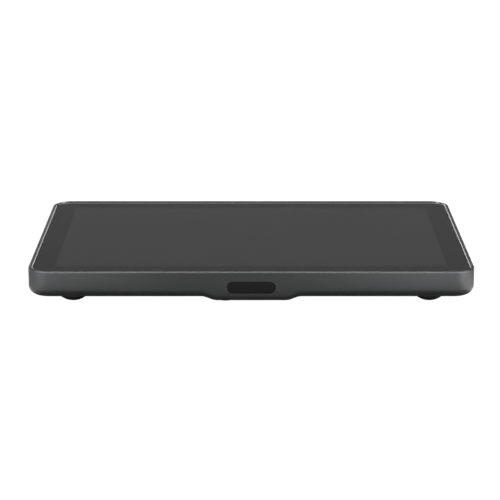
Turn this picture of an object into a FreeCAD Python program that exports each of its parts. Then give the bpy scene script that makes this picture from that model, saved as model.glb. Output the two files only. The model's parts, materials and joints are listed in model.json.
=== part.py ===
"""Low tabletop touch display, in millimetres.

A flat aluminium body carries the glass and the screen and leans back on a hollow base that stands on
the table. World frame: +X to the viewer's right, +Y away from the viewer, +Z up, with the origin on the
table under the middle of the object. The flat body and everything in it is drawn in the body's own
frame, with X across it, Y from its front edge to its back edge and Z out of its underside towards the
glass, and is then leaned back by the tilt.
"""

import FreeCAD, Part
import math
import os
import re

import Sketcher

SIZES = {
    # Flat body.
    "body_width": 246.3,
    "body_depth": 166.5,
    "body_thick": 15.0,
    "corner_radius": 11.8,
    "belly_radius": 4.9,
    "floor_thick": 1.6,
    "wall_width": 5.2,
    "tilt": 14.0,
    "lip_height": 16.1,
    # Rim round the glass.
    "rim_land": 1.75,
    "rim_round": 0.5,
    "rim_chamfer": 0.5,
    "glass_gap": 0.15,
    "glass_thick": 1.1,
    "tape_thick": 0.2,
    "tape_margin": 0.4,
    # Chin under the front edge that makes room for the presence sensor.
    "chin_half": 19.0,
    "chin_blend": 8.6,
    "chin_drop": 1.8,
    "chin_radius": 3.0,
    "chin_depth": 22.0,
    "chin_tail": 8.0,
    "chin_root": 8.0,
    # Oval sensor window in the front wall.
    "window_length": 27.0,
    "window_height": 6.8,
    "window_level": 6.1,
    "window_recess": 0.35,
    "window_gap": 0.1,
    "flange_margin": 1.1,
    "flange_start": 3.0,
    "flange_thick": 1.4,
    # Screen stack, from the glass down.
    "touch_thick": 0.3,
    "touch_margin": 0.8,
    "panel_width": 223.0,
    "panel_depth": 142.0,
    "panel_thick": 1.1,
    "module_width": 229.5,
    "module_depth": 149.1,
    "module_front": 8.4,
    "film_thick": 0.3,
    "guide_thick": 1.2,
    "guide_gap": 2.0,
    "tray_thick": 0.3,
    "led_width": 1.4,
    # Chassis plate that carries the screen.
    "chassis_width": 230.0,
    "chassis_front": 8.0,
    "chassis_back": 155.5,
    "chassis_level": 8.2,
    "chassis_thick": 0.8,
    "chassis_notch": 48.0,
    "chassis_notch_depth": 8.5,
    "post_radius": 3.0,
    "post_outer": 108.0,
    "post_inner": 42.0,
    "post_front": 14.0,
    "post_back": 151.0,
    # Main circuit board.
    "board_left": -66.0,
    "board_right": 54.0,
    "board_front": 78.0,
    "board_back": 142.0,
    "board_level": 3.6,
    "board_thick": 1.2,
    "board_inset": 4.0,
    "board_post_radius": 2.5,
    "can_height": 1.8,
    "can_thick": 0.2,
    "can_side": 34.0,
    "can_small": 24.0,
    "can_left": -32.0,
    "can_right": 4.0,
    "can_middle": 112.0,
    "chip_thick": 1.1,
    "chip_side": 17.0,
    "memory_side": 11.0,
    "pad_side": 28.0,
    # Presence sensor.
    "sensor_left": -5.5,
    "sensor_radius": 3.95,
    "sensor_front": 4.7,
    "sensor_length": 3.9,
    "sensor_board_thick": 1.0,
    "sensor_board_half": 17.0,
    "sensor_board_low": 1.9,
    "sensor_board_high": 9.2,
    "light_sensor_left": 7.5,
    "light_sensor_side": 3.6,
    "light_sensor_thick": 1.0,
    "carrier_thick": 0.9,
    "carrier_back": 19.0,
    "carrier_foot": 1.2,
    "carrier_screw_left": 13.5,
    "carrier_screw_back": 15.5,
    # Rubber plug in the chin.
    "plug_left": -14.0,
    "plug_back": 8.0,
    "plug_radius": 4.4,
    "plug_proud": 0.62,
    "plug_stem": 1.8,
    # Antenna strips.
    "antenna_thick": 1.6,
    "antenna_length": 44.0,
    "antenna_front": 44.0,
    "antenna_low": 3.0,
    "antenna_high": 10.8,
    # Ribbon cables.
    "ribbon_thick": 0.25,
    "ribbon_bend": 0.9,
    "display_ribbon_width": 30.0,
    "touch_ribbon_width": 12.0,
    "sensor_ribbon_width": 8.0,
    "port_ribbon_width": 20.0,
    "pass_width": 26.0,
    "pass_depth": 8.0,
    "pass_front": 96.0,
    "display_ribbon_back": 159.2,
    "touch_ribbon_back": 160.2,
    "socket_level": 6.15,
    # Front feet.
    "front_foot_spread": 98.8,
    "front_foot_back": 16.0,
    "front_foot_radius": 8.5,
    "front_foot_ball": 11.6,
    "front_foot_sunk": 0.4,
    # Base.
    "base_width": 184.0,
    "base_front": -20.0,
    "base_back": 70.0,
    "base_low": 1.6,
    "base_corner": 14.0,
    "base_edge": 2.0,
    "base_wall": 2.4,
    "base_rise": 44.0,
    "bay_half": 66.0,
    "bay_front": 38.0,
    "bay_wall": 2.0,
    "mouth_half": 64.0,
    "mouth_low": 5.0,
    "mouth_high": 33.0,
    "mouth_corner": 3.0,
    "boss_radius": 3.6,
    "boss_bore": 1.5,
    "boss_bore_depth": 9.0,
    "boss_half": 80.0,
    "boss_front": 70.0,
    "boss_back": 138.0,
    # Mounting inserts in the base.
    "insert_pitch": 75.0,
    "insert_middle": 25.0,
    "insert_radius": 2.8,
    "insert_bore": 1.65,
    "insert_length": 6.0,
    "insert_boss": 4.6,
    "insert_boss_high": 7.0,
    # Rear feet.
    "rear_foot_length": 46.0,
    "rear_foot_width": 9.0,
    "rear_foot_spread": 58.0,
    "rear_foot_back": 49.0,
    "rear_foot_sunk": 0.8,
    # Connector board and its connectors.
    "port_board_left": -54.0,
    "port_board_right": 54.0,
    "port_board_front": 8.0,
    "port_board_back": 35.4,
    "port_board_level": 11.0,
    "port_board_thick": 1.2,
    "port_board_inset": 3.5,
    "port_post_radius": 2.6,
    "port_gap": 0.3,
    "port_recess": 0.3,
    "power_left": -42.0,
    "power_width": 9.0,
    "power_depth": 14.0,
    "power_height": 11.0,
    "power_bore": 3.2,
    "power_pin": 1.0,
    "power_level": 6.2,
    "hdmi_left": -19.0,
    "hdmi_width": 15.0,
    "hdmi_depth": 11.3,
    "hdmi_height": 5.9,
    "usb_left": 3.0,
    "usb_width": 8.94,
    "usb_depth": 7.35,
    "usb_height": 3.26,
    "shell_thick": 0.35,
    "audio_left": 22.0,
    "audio_width": 6.4,
    "audio_depth": 12.0,
    "audio_height": 5.2,
    "audio_bore": 1.8,
    "audio_collar": 2.4,
    # Reset button and its switch.
    "reset_left": 42.0,
    "reset_level": 4.2,
    "reset_radius": 1.95,
    "reset_gap": 0.08,
    "reset_flange": 3.0,
    "reset_flange_thick": 0.9,
    "reset_proud": 0.5,
    "reset_length": 5.4,
    "reset_travel": 0.6,
    "switch_side": 6.2,
    "switch_height": 7.0,
    "switch_depth": 3.6,
    "switch_plunger": 1.2,
    "switch_plunger_out": 0.5,
    "switch_gap": 0.1,
    # Ballast in the base.
    "ballast_half": 30.0,
    "ballast_front": -15.0,
    "ballast_depth": 20.0,
    "ballast_thick": 3.0,
    # Security slot.
    "lock_side_back": 30.0,
    "lock_level": 12.0,
    "lock_length": 7.0,
    "lock_height": 3.2,
    "lock_plate_length": 16.0,
    "lock_plate_height": 9.0,
    "lock_plate_thick": 1.0,
    # Cable cover.
    "cover_gap": 0.3,
    "cover_thick": 2.2,
    "cover_edge": 0.4,
    "cover_arm_length": 13.0,
    "cover_arm_thick": 1.8,
    "cover_arm_height": 9.0,
    "cover_arm_level": 17.0,
    "outlet_width": 27.0,
    "outlet_height": 10.0,
    "outlet_corner": 4.0,
    "pull_width": 34.0,
    "pull_height": 5.0,
    "pull_depth": 1.1,
    "rail_height": 1.6,
    "rail_length": 12.0,
    "rail_reach": 3.8,
    "magnet_radius": 2.5,
    "magnet_thick": 2.0,
    "magnet_spread": 61.0,
    "magnet_level": 9.5,
    "magnet_gap": 0.2,
    "stop_width": 9.0,
    "stop_depth": 7.0,
    "stop_high": 13.5,
    # Cable clamp.
    "clamp_back": 50.0,
    "clamp_level": 8.0,
    "clamp_half": 17.0,
    "clamp_reach": 14.0,
    "clamp_thick": 2.0,
    "clamp_barrel": 2.6,
    "clamp_tooth": 1.6,
    "pin_radius": 1.0,
    "pin_gap": 0.05,
    "ear_thick": 3.0,
    "ear_gap": 0.4,
    "ear_radius": 3.2,
    # Fasteners.
    "screw_large_head": 2.7,
    "screw_large_high": 1.7,
    "screw_large_shank": 1.45,
    "screw_small_head": 1.9,
    "screw_small_high": 0.9,
    "screw_small_shank": 0.95,
    "screw_socket": 0.6,
    "clearance": 0.25,
    "thread_gap": 0.05,
}

# Where the flat body sits in the world: its front lip at the stated height, and the object's outline
# centred on the origin from front to back.
LIFT = "(lip_height - body_thick * cos(tilt))"
REACH_FRONT = "(rim_round * cos(tilt) - (body_thick - rim_round) * sin(tilt) - rim_round)"
REACH_BACK = "((body_depth - belly_radius) * cos(tilt) - belly_radius * sin(tilt) + belly_radius)"
SHIFT = f"(-({REACH_FRONT} + {REACH_BACK}) / 2)"

# Levels in the flat body, from the glass down.
SEAT = "(body_thick - rim_chamfer - glass_thick - tape_thick)"
GLASS_LOW = "(body_thick - rim_chamfer - glass_thick)"
TOUCH_LOW = f"({GLASS_LOW} - touch_thick)"
PANEL_LOW = f"({TOUCH_LOW} - panel_thick)"
FILM_LOW = f"({PANEL_LOW} - film_thick)"
GUIDE_LOW = f"({FILM_LOW} - guide_thick)"
TRAY_LOW = f"({GUIDE_LOW} - tray_thick)"
BOARD_TOP = "(board_level + board_thick)"
PORT_TOP = "(port_board_level + port_board_thick)"
BASE_FLOOR = "(base_low + base_wall)"
MODULE_MIDDLE = "(module_front + module_depth / 2)"
RESET_LEVEL = f"({PORT_TOP} + reset_level)"

# Depths in the base, from the front of the object to the back.
STOP_FACE = "(base_back - cover_thick - magnet_thick - magnet_gap)"
PORT_FACE = "(bay_front - port_recess)"

X_AXIS = FreeCAD.Vector(1, 0, 0)
Y_AXIS = FreeCAD.Vector(0, 1, 0)
Z_AXIS = FreeCAD.Vector(0, 0, 1)
WORD = re.compile(r"[a-z_]+")

doc = FreeCAD.newDocument("touch_display")
sheet = doc.addObject("Spreadsheet::Sheet", "Sizes")
working = doc.addObject("Spreadsheet::Sheet", "Working")
nodes = {}


# ---------------------------------------------------------------- sizes and expressions


def fill_sheet():
    for row, (alias, number) in enumerate(SIZES.items(), 1):
        sheet.set(f"A{row}", alias)
        sheet.set(f"B{row}", str(number))
        sheet.setAlias(f"B{row}", alias)
    doc.recompute()


def formula(text):
    """A formula in size names as an expression that points at the sheet's cells."""
    return WORD.sub(lambda m: "Sizes." + m.group() if m.group() in SIZES else m.group(), str(text))


def number(text):
    """The present value of a formula in size names, worked out in a cell of the working sheet."""
    working.set("A1", "=" + formula(text))
    working.recompute()
    return float(working.get("A1"))


def bind(obj, **formulas):
    """Binds properties to formulas. Two underscores in a name stand for a dot."""
    for name, text in formulas.items():
        obj.setExpression("." + name.replace("__", "."), formula(text))


def keep(label, obj):
    """Registers a finished sub-part under its node name."""
    obj.Label = label
    nodes[label] = obj
    return obj


def lean(obj):
    """Puts an object that is drawn in the flat body's frame where the leaning body is.

    A primitive keeps its own place in that frame, so it is leaned inside a compound.
    """
    if obj.TypeId in ("Part::Box", "Part::Cylinder"):
        obj = group(obj.Name + "_leaned", obj)
    obj.Placement = FreeCAD.Placement(FreeCAD.Vector(), FreeCAD.Rotation(X_AXIS, SIZES["tilt"]))
    bind(obj, Placement__Base__y=SHIFT, Placement__Base__z=LIFT, Placement__Rotation__Angle="tilt")
    return obj


# ---------------------------------------------------------------- sketches and body features


def new_body(name):
    return doc.addObject("PartDesign::Body", name)


def sketch(body, name, plane="XY", level="0"):
    """A sketch on one of the body's origin planes, moved along the plane's normal to a level."""
    made = body.newObject("Sketcher::SketchObject", name)
    origin = next(f for f in body.Origin.OriginFeatures if f.Role == plane + "_Plane")
    made.AttachmentSupport = [(origin, "")]
    made.MapMode = "FlatFace"
    bind(made, AttachmentOffset__Base__z=level)
    return made


def dimension(sk, kind, *where, length):
    index = sk.addConstraint(Sketcher.Constraint(kind, *where, number(length)))
    sk.setExpression(f"Constraints[{index}]", formula(length))


def polygon(sk, corners):
    """A closed outline through corners given as pairs of formulas."""
    points = [FreeCAD.Vector(number(x), number(y), 0) for x, y in corners]
    first = sk.GeometryCount
    for start, end in zip(points, points[1:] + points[:1]):
        sk.addGeometry(Part.LineSegment(start, end), False)
    for i, (x, y) in enumerate(corners):
        before = first + (i - 1) % len(corners)
        sk.addConstraint(Sketcher.Constraint("Coincident", before, 2, first + i, 1))
        dimension(sk, "DistanceX", -1, 1, first + i, 1, length=x)
        dimension(sk, "DistanceY", -1, 1, first + i, 1, length=y)


def rectangle(sk, left, low, right, high):
    polygon(sk, [(left, low), (right, low), (right, high), (left, high)])


def rounded_rectangle(sk, left, low, right, high, radius):
    """A rectangle with four tangent corner arcs."""
    x0, y0, x1, y1, r = (number(t) for t in (left, low, right, high, radius))
    first = sk.GeometryCount
    runs = [
        ((x0 + r, y0), (x1 - r, y0)),
        ((x1, y0 + r), (x1, y1 - r)),
        ((x1 - r, y1), (x0 + r, y1)),
        ((x0, y1 - r), (x0, y0 + r)),
    ]
    for start, end in runs:
        sk.addGeometry(Part.LineSegment(FreeCAD.Vector(*start, 0), FreeCAD.Vector(*end, 0)), False)
    centres = [(x1 - r, y0 + r, 270), (x1 - r, y1 - r, 0), (x0 + r, y1 - r, 90), (x0 + r, y0 + r, 180)]
    for x, y, start in centres:
        circle = Part.Circle(FreeCAD.Vector(x, y, 0), Z_AXIS, r)
        arc = Part.ArcOfCircle(circle, math.radians(start), math.radians(start + 90))
        sk.addGeometry(arc, False)
    for i in range(4):
        sk.addConstraint(Sketcher.Constraint("Tangent", first + i, 2, first + 4 + i, 1))
        sk.addConstraint(Sketcher.Constraint("Tangent", first + 4 + i, 2, first + (i + 1) % 4, 1))
    for i in (0, 2):
        sk.addConstraint(Sketcher.Constraint("Horizontal", first + i))
        sk.addConstraint(Sketcher.Constraint("Vertical", first + i + 1))
    for i in (4, 5, 6):
        sk.addConstraint(Sketcher.Constraint("Equal", first + i, first + i + 1))
    dimension(sk, "Radius", first + 4, length=radius)
    dimension(sk, "DistanceX", -1, 1, first + 3, 1, length=left)
    dimension(sk, "DistanceX", -1, 1, first + 1, 1, length=right)
    dimension(sk, "DistanceY", -1, 1, first, 1, length=low)
    dimension(sk, "DistanceY", -1, 1, first + 2, 1, length=high)


def inset_outline(sk, inset):
    """The flat body's outline, moved in by an inset."""
    half = f"(body_width / 2 - ({inset}))"
    rounded_rectangle(
        sk, f"-{half}", inset, half, f"body_depth - ({inset})", f"corner_radius - ({inset})"
    )


def circles(sk, places, radius):
    """Circles of one radius, at places given as pairs of formulas."""
    for x, y in places:
        circle = Part.Circle(FreeCAD.Vector(number(x), number(y), 0), Z_AXIS, number(radius))
        index = sk.addGeometry(circle, False)
        dimension(sk, "Radius", index, length=radius)
        dimension(sk, "DistanceX", -1, 1, index, 3, length=x)
        dimension(sk, "DistanceY", -1, 1, index, 3, length=y)


def feature(body, kind, sk, length, backwards=False, both_ways=False):
    """A pad or pocket of a sketch, which must change the body's volume."""
    before = body.Shape.Volume if body.Tip else 0.0
    made = body.newObject("PartDesign::" + kind, kind.lower())
    made.Profile = sk
    bind(made, Length=length)
    made.Reversed = backwards
    if both_ways:
        made.SideType = "Symmetric"
    doc.recompute()
    change = body.Shape.Volume - before
    if (change > 0) != (kind == "Pad") or abs(change) < 1e-6:
        raise RuntimeError(f"{body.Name}: {made.Name} changed the volume by {change:.3f}")
    return made


def pad(body, sk, length, backwards=False, both_ways=False):
    return feature(body, "Pad", sk, length, backwards, both_ways)


def pocket(body, sk, length, backwards=False, both_ways=False):
    return feature(body, "Pocket", sk, length, backwards, both_ways)


def dress(body, kind, size, wanted):
    """A fillet or chamfer on every edge of the body that wanted() picks."""
    base = body.Tip
    edges = [f"Edge{i}" for i, edge in enumerate(base.Shape.Edges, 1) if wanted(edge.BoundBox)]
    made = body.newObject("PartDesign::" + kind, kind.lower())
    made.Base = (base, edges)
    bind(made, **{"Radius" if kind == "Fillet" else "Size": size})
    doc.recompute()
    return made


def at_level(level, tolerance=1e-4):
    """Picks edges that lie wholly at a height."""
    z = number(level)
    return lambda box: abs(box.ZMin - z) < tolerance and abs(box.ZMax - z) < tolerance


def at_depth(depth, tolerance=1e-4):
    """Picks edges that lie wholly at one distance from the front."""
    y = number(depth)
    return lambda box: abs(box.YMin - y) < tolerance and abs(box.YMax - y) < tolerance


def plate(name, left, front, right, back, level, thick, radius="0"):
    """A flat plate with square or rounded corners."""
    body = new_body(name)
    sk = sketch(body, "outline", level=level)
    if radius == "0":
        rectangle(sk, left, front, right, back)
    else:
        rounded_rectangle(sk, left, front, right, back, radius)
    pad(body, sk, thick)
    return body


# ---------------------------------------------------------------- primitives


def block(name, left, front, low, width, depth, height):
    made = doc.addObject("Part::Box", name)
    bind(made, Length=width, Width=depth, Height=height)
    bind(made, Placement__Base__x=left, Placement__Base__y=front, Placement__Base__z=low)
    return made


def rod(name, x, y, z, radius, length, along="z"):
    """A cylinder that starts at a point and runs along an axis."""
    made = doc.addObject("Part::Cylinder", name)
    bind(made, Radius=radius, Height=length)
    turns = {
        "x": FreeCAD.Rotation(Y_AXIS, 90),
        "y": FreeCAD.Rotation(X_AXIS, -90),
        "z": FreeCAD.Rotation(),
    }
    made.Placement = FreeCAD.Placement(FreeCAD.Vector(), turns[along])
    bind(made, Placement__Base__x=x, Placement__Base__y=y, Placement__Base__z=z)
    return made


def joined(name, *pieces):
    made = doc.addObject("Part::MultiFuse", name)
    made.Shapes = list(pieces)
    made.Refine = True
    return made


def less(name, base, *tools):
    """A base with tools cut out of it."""
    made = doc.addObject("Part::Cut", name)
    made.Base = base
    made.Tool = tools[0] if len(tools) == 1 else joined(name + "_tools", *tools)
    made.Refine = True
    return made


def group(name, *pieces):
    """Separate solids that share one node."""
    made = doc.addObject("Part::Compound", name)
    made.Links = list(pieces)
    return made


def screws(name, places, level, size, length, pointing="down"):
    """Socket-head screws whose heads sit on a level, as separate solids."""
    head, high, shank = (f"screw_{size}_{part}" for part in ("head", "high", "shank"))
    made = []
    for i, (x, y) in enumerate(places, 1):
        tag = f"{name}_{i}"
        top = rod(tag + "_head", x, y, level, head, high)
        stem = rod(tag + "_shank", x, y, f"({level}) - ({length})", shank, length)
        socket = rod(tag + "_socket", x, y, f"({level}) + {high} * (1 - screw_socket)", f"{head} / 2", high)
        made.append(less(tag, joined(tag + "_solid", top, stem), socket))
    return group(name, *made)


def ribbon(name, path, left, width):
    """A flat cable that follows a path of (y, z) points with rounded bends, as wide as stated."""
    half = number("ribbon_thick") / 2
    bend = number("ribbon_bend")
    points = [FreeCAD.Vector(0, number(y), number(z)) for y, z in path]
    sides = {1: [], -1: []}
    for side, edges in sides.items():
        last = None
        for i, point in enumerate(points):
            before = (point - points[i - 1]).normalize() if i else None
            after = (points[i + 1] - point).normalize() if i + 1 < len(points) else None
            across = X_AXIS.cross(after if before is None else before) * (half * side)
            if before is None or after is None:
                corner = point + across
                if last is not None:
                    edges.append(Part.LineSegment(last, corner).toShape())
                last = corner
                continue
            turn = before.getAngle(after)
            cut = bend * math.tan(turn / 2)
            across_after = X_AXIS.cross(after) * (half * side)
            start = point - before * cut + across
            end = point + after * cut + across_after
            inward = (after - before).normalize()
            centre = point + inward * (bend / math.cos(turn / 2))
            reach = (start - centre).Length
            edges.append(Part.LineSegment(last, start).toShape())
            edges.append(Part.Arc(start, centre - inward * reach, end).toShape())
            last = end
    left_end, right_end = (sides[s][-1].Vertexes[-1].Point for s in (1, -1))
    left_start, right_start = (sides[s][0].Vertexes[0].Point for s in (1, -1))
    caps = [
        Part.LineSegment(left_end, right_end).toShape(),
        Part.LineSegment(left_start, right_start).toShape(),
    ]
    outline = Part.Wire(Part.__sortEdges__(sides[1] + sides[-1] + caps))
    solid = Part.Face(outline).extrude(X_AXIS * number(width))
    made = doc.addObject("Part::Feature", name)
    made.Shape = solid
    made.Placement = FreeCAD.Placement(X_AXIS * number(left), FreeCAD.Rotation())
    return made


# ---------------------------------------------------------------- flat body


def slot_outline(sk, length, level, radius):
    """A level slot with round ends, centred from side to side."""
    half, z, r = number(f"({length}) / 2 - ({radius})"), number(level), number(radius)
    first = sk.GeometryCount
    for side, start in ((-1, 90), (1, 270)):
        circle = Part.Circle(FreeCAD.Vector(side * half, z, 0), Z_AXIS, r)
        sk.addGeometry(Part.ArcOfCircle(circle, math.radians(start), math.radians(start + 180)), False)
    for side in (-1, 1):
        start = FreeCAD.Vector(side * half, z + side * r, 0)
        end = FreeCAD.Vector(-side * half, z + side * r, 0)
        sk.addGeometry(Part.LineSegment(start, end), False)
    left_arc, right_arc, low_line, high_line = range(first, first + 4)
    sk.addConstraint(Sketcher.Constraint("Tangent", left_arc, 2, low_line, 1))
    sk.addConstraint(Sketcher.Constraint("Tangent", low_line, 2, right_arc, 1))
    sk.addConstraint(Sketcher.Constraint("Tangent", right_arc, 2, high_line, 1))
    sk.addConstraint(Sketcher.Constraint("Tangent", high_line, 2, left_arc, 1))
    sk.addConstraint(Sketcher.Constraint("Horizontal", low_line))
    dimension(sk, "Radius", left_arc, length=radius)
    dimension(sk, "DistanceX", -1, 1, right_arc, 3, length=f"({length}) / 2 - ({radius})")
    dimension(sk, "DistanceX", left_arc, 3, right_arc, 3, length=f"({length}) - 2 * ({radius})")
    dimension(sk, "DistanceY", -1, 1, right_arc, 3, length=level)


def chin_section(body, name, across, share):
    """The chin's outline in a plane across the body. Share runs from 0 at its ends to 1 in its middle."""
    sk = sketch(body, name, "YZ", across)
    sunk = 0.02 if share == 0 else 0.0
    drop = f"(chin_drop * {share} - {sunk})"
    radius = f"(belly_radius + (chin_radius - belly_radius) * {share} + {sunk})"
    root, tail, inner, depth = "chin_root", "(floor_thick - 0.5)", "(wall_width - 0.5)", "chin_depth"
    r, low = number(radius), -number(drop)
    arc = Part.Circle(FreeCAD.Vector(r, r + low, 0), Z_AXIS, r)
    sk.addGeometry(Part.ArcOfCircle(arc, math.pi, 1.5 * math.pi), False)
    corners = [
        (radius, f"-{drop}"),
        ("chin_depth - chin_tail", f"-{drop}"),
        (depth, "0.05"),
        (depth, tail),
        (inner, tail),
        (inner, root),
        ("0", root),
        ("0", f"{radius} - {drop}"),
    ]
    points = [FreeCAD.Vector(number(y), number(z), 0) for y, z in corners]
    last = len(points) - 1
    for start, end in zip(points, points[1:]):
        sk.addGeometry(Part.LineSegment(start, end), False)
    for i in range(1, last):
        sk.addConstraint(Sketcher.Constraint("Coincident", i, 2, i + 1, 1))
    sk.addConstraint(Sketcher.Constraint("Tangent", last, 2, 0, 1))
    sk.addConstraint(Sketcher.Constraint("Tangent", 0, 2, 1, 1))
    sk.addConstraint(Sketcher.Constraint("Horizontal", 1))
    sk.addConstraint(Sketcher.Constraint("Vertical", last))
    dimension(sk, "Radius", 0, length=radius)
    for i, (y, z) in enumerate(corners[1:-1], 2):
        dimension(sk, "DistanceX", -1, 1, i, 1, length=y)
        dimension(sk, "DistanceY", -1, 1, i, 1, length=z)
    return sk


def chin(body):
    """The swelling under the front edge: a straight middle with a blend at either end."""
    pad(body, chin_section(body, "chin_middle", "0", 1), "chin_half * 2", both_ways=True)
    for side in ("-", ""):
        sections = []
        for step in range(6):
            t = step / 5
            share = round(1 - t * t * (3 - 2 * t), 6)
            across = f"{side}(chin_half + chin_blend * {t})"
            sections.append(chin_section(body, f"chin_section_{step}", across, share))
        loft = body.newObject("PartDesign::AdditiveLoft", "chin_blend")
        loft.Profile = sections[0]
        loft.Sections = sections[1:]
        doc.recompute()


CHASSIS_POSTS = [
    (f"{side}{across}", along)
    for side in ("-", "")
    for across in ("post_outer", "post_inner")
    for along in ("post_front", "post_back")
]
BOARD_POSTS = [
    (across, along)
    for across in ("board_left + board_inset", "board_right - board_inset")
    for along in ("board_front + board_inset", "board_back - board_inset")
]
BASE_SCREWS = [(f"{side}boss_half", along) for side in ("-", "") for along in ("boss_front", "boss_back")]
CARRIER_SCREWS = [(f"{side}carrier_screw_left", "carrier_screw_back") for side in ("-", "")]


def posts(body, places, radius, high, bore):
    """Round posts on the body's floor with blind screw holes in them."""
    sk = sketch(body, "posts", level="floor_thick - 0.2")
    circles(sk, places, radius)
    pad(body, sk, f"{high} - floor_thick + 0.2")
    sk = sketch(body, "post_bores", level=high)
    circles(sk, places, bore)
    pocket(body, sk, f"{high} - floor_thick + 0.1")


def make_housing():
    body = new_body("housing_body")
    sk = sketch(body, "outline")
    inset_outline(sk, "0")
    pad(body, sk, "body_thick")
    dress(body, "Fillet", "belly_radius", at_level("0"))
    sk = sketch(body, "cavity", level="body_thick")
    inset_outline(sk, "wall_width")
    pocket(body, sk, "body_thick - floor_thick")
    sk = sketch(body, "glass_seat", level="body_thick")
    inset_outline(sk, "rim_land + rim_chamfer")
    pocket(body, sk, f"body_thick - {SEAT}")
    top = at_level("body_thick")
    dress(body, "Chamfer", "rim_chamfer", lambda box: top(box) and not outer_edge(box))
    dress(body, "Fillet", "rim_round", lambda box: top(box) and outer_edge(box))
    chin(body)
    posts(body, CHASSIS_POSTS, "post_radius", "chassis_level", "screw_small_shank + thread_gap")
    posts(body, BOARD_POSTS, "board_post_radius", "board_level", "screw_small_shank + thread_gap")
    front = sketch(body, "window_opening", "XZ", "0.1")
    slot_outline(front, "window_length", "window_level", "window_height / 2")
    pocket(body, front, "wall_width + 1")
    seat = sketch(body, "window_seat", "XZ", "-flange_start")
    slot_outline(
        seat, "window_length + 2 * flange_margin", "window_level", "window_height / 2 + flange_margin"
    )
    pocket(body, seat, "wall_width")
    sk = sketch(body, "floor_holes", level="floor_thick + 0.1")
    circles(sk, BASE_SCREWS, "screw_large_shank + clearance")
    rounded_rectangle(
        sk, "-pass_width / 2", "pass_front", "pass_width / 2", "pass_front + pass_depth", "2"
    )
    pocket(body, sk, "floor_thick + 0.2")
    sk = sketch(body, "carrier_bores", level="floor_thick + 0.1")
    circles(sk, CARRIER_SCREWS, "screw_small_shank + thread_gap")
    pocket(body, sk, "1.3")
    sk = sketch(body, "plug_hole", level="floor_thick + 0.1")
    circles(sk, [("plug_left", "plug_back")], "plug_stem + thread_gap")
    pocket(body, sk, "floor_thick + chin_drop + 0.2")
    sk = sketch(body, "foot_seats", level="front_foot_sunk")
    circles(
        sk,
        [(f"{side}front_foot_spread", "front_foot_back") for side in ("-", "")],
        "front_foot_radius + thread_gap",
    )
    pocket(body, sk, "front_foot_sunk + 1")
    keep("housing", lean(body))


def outer_edge(box):
    """Whether an edge of the body's top lies on its outline rather than on the glass opening."""
    half, deep = number("body_width / 2"), number("body_depth")
    near = 1e-3
    return box.XMin < -half + near or box.XMax > half - near or box.YMin < near or box.YMax > deep - near


def make_glass():
    body = new_body("glass_body")
    sk = sketch(body, "outline", level=GLASS_LOW)
    inset_outline(sk, "rim_land + rim_chamfer + glass_gap")
    pad(body, sk, "glass_thick")
    dress(body, "Fillet", "0.25", at_level(f"{GLASS_LOW} + glass_thick"))
    keep("cover_glass", lean(body))

    body = new_body("tape_body")
    sk = sketch(body, "outline", level=SEAT)
    inset_outline(sk, "rim_land + rim_chamfer + glass_gap + tape_margin")
    inset_outline(sk, "wall_width + 0.1")
    pad(body, sk, "tape_thick")
    keep("glass_tape", lean(body))


def centred_plate(name, width, depth, level, thick):
    """A plate centred on the screen."""
    middle = f"{MODULE_MIDDLE}"
    return plate(
        name,
        f"-{width} / 2",
        f"{middle} - {depth} / 2",
        f"{width} / 2",
        f"{middle} + {depth} / 2",
        level,
        thick,
    )


def make_screen():
    touch = plate(
        "touch_body",
        "-(body_width / 2 - wall_width - touch_margin)",
        "wall_width + touch_margin",
        "body_width / 2 - wall_width - touch_margin",
        "body_depth - wall_width - touch_margin",
        TOUCH_LOW,
        "touch_thick",
        "corner_radius - wall_width - touch_margin",
    )
    keep("touch_sensor", lean(touch))
    keep(
        "lcd_panel",
        lean(centred_plate("panel_body", "panel_width", "panel_depth", PANEL_LOW, "panel_thick"))
    )
    inner_width = "(module_width - 2 * tray_thick - 0.2)"
    inner_depth = "(module_depth - 2 * tray_thick - 0.2)"
    films = centred_plate("films_body", inner_width, inner_depth, FILM_LOW, "film_thick")
    keep("optical_films", lean(films))
    front = f"({MODULE_MIDDLE} - {inner_depth} / 2)"
    guide = plate(
        "guide_body",
        f"-{inner_width} / 2",
        f"{front} + guide_gap",
        f"{inner_width} / 2",
        f"{front} + {inner_depth}",
        GUIDE_LOW,
        "guide_thick",
    )
    keep("light_guide", lean(guide))
    bar = plate(
        "led_body",
        f"-{inner_width} / 2",
        f"{front} + 0.2",
        f"{inner_width} / 2",
        f"{front} + 0.2 + led_width",
        GUIDE_LOW,
        "guide_thick - 0.1",
    )
    keep("led_bar", lean(bar))

    tray = centred_plate("tray_body", "module_width", "module_depth", TRAY_LOW, f"{PANEL_LOW} - {TRAY_LOW}")
    sk = sketch(tray, "inside", level=PANEL_LOW)
    middle = MODULE_MIDDLE
    rectangle(
        sk,
        "-(module_width / 2 - tray_thick)",
        f"{middle} - module_depth / 2 + tray_thick",
        "module_width / 2 - tray_thick",
        f"{middle} + module_depth / 2 - tray_thick",
    )
    pocket(tray, sk, f"{PANEL_LOW} - {GUIDE_LOW}")
    keep("backlight_tray", lean(tray))


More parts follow.
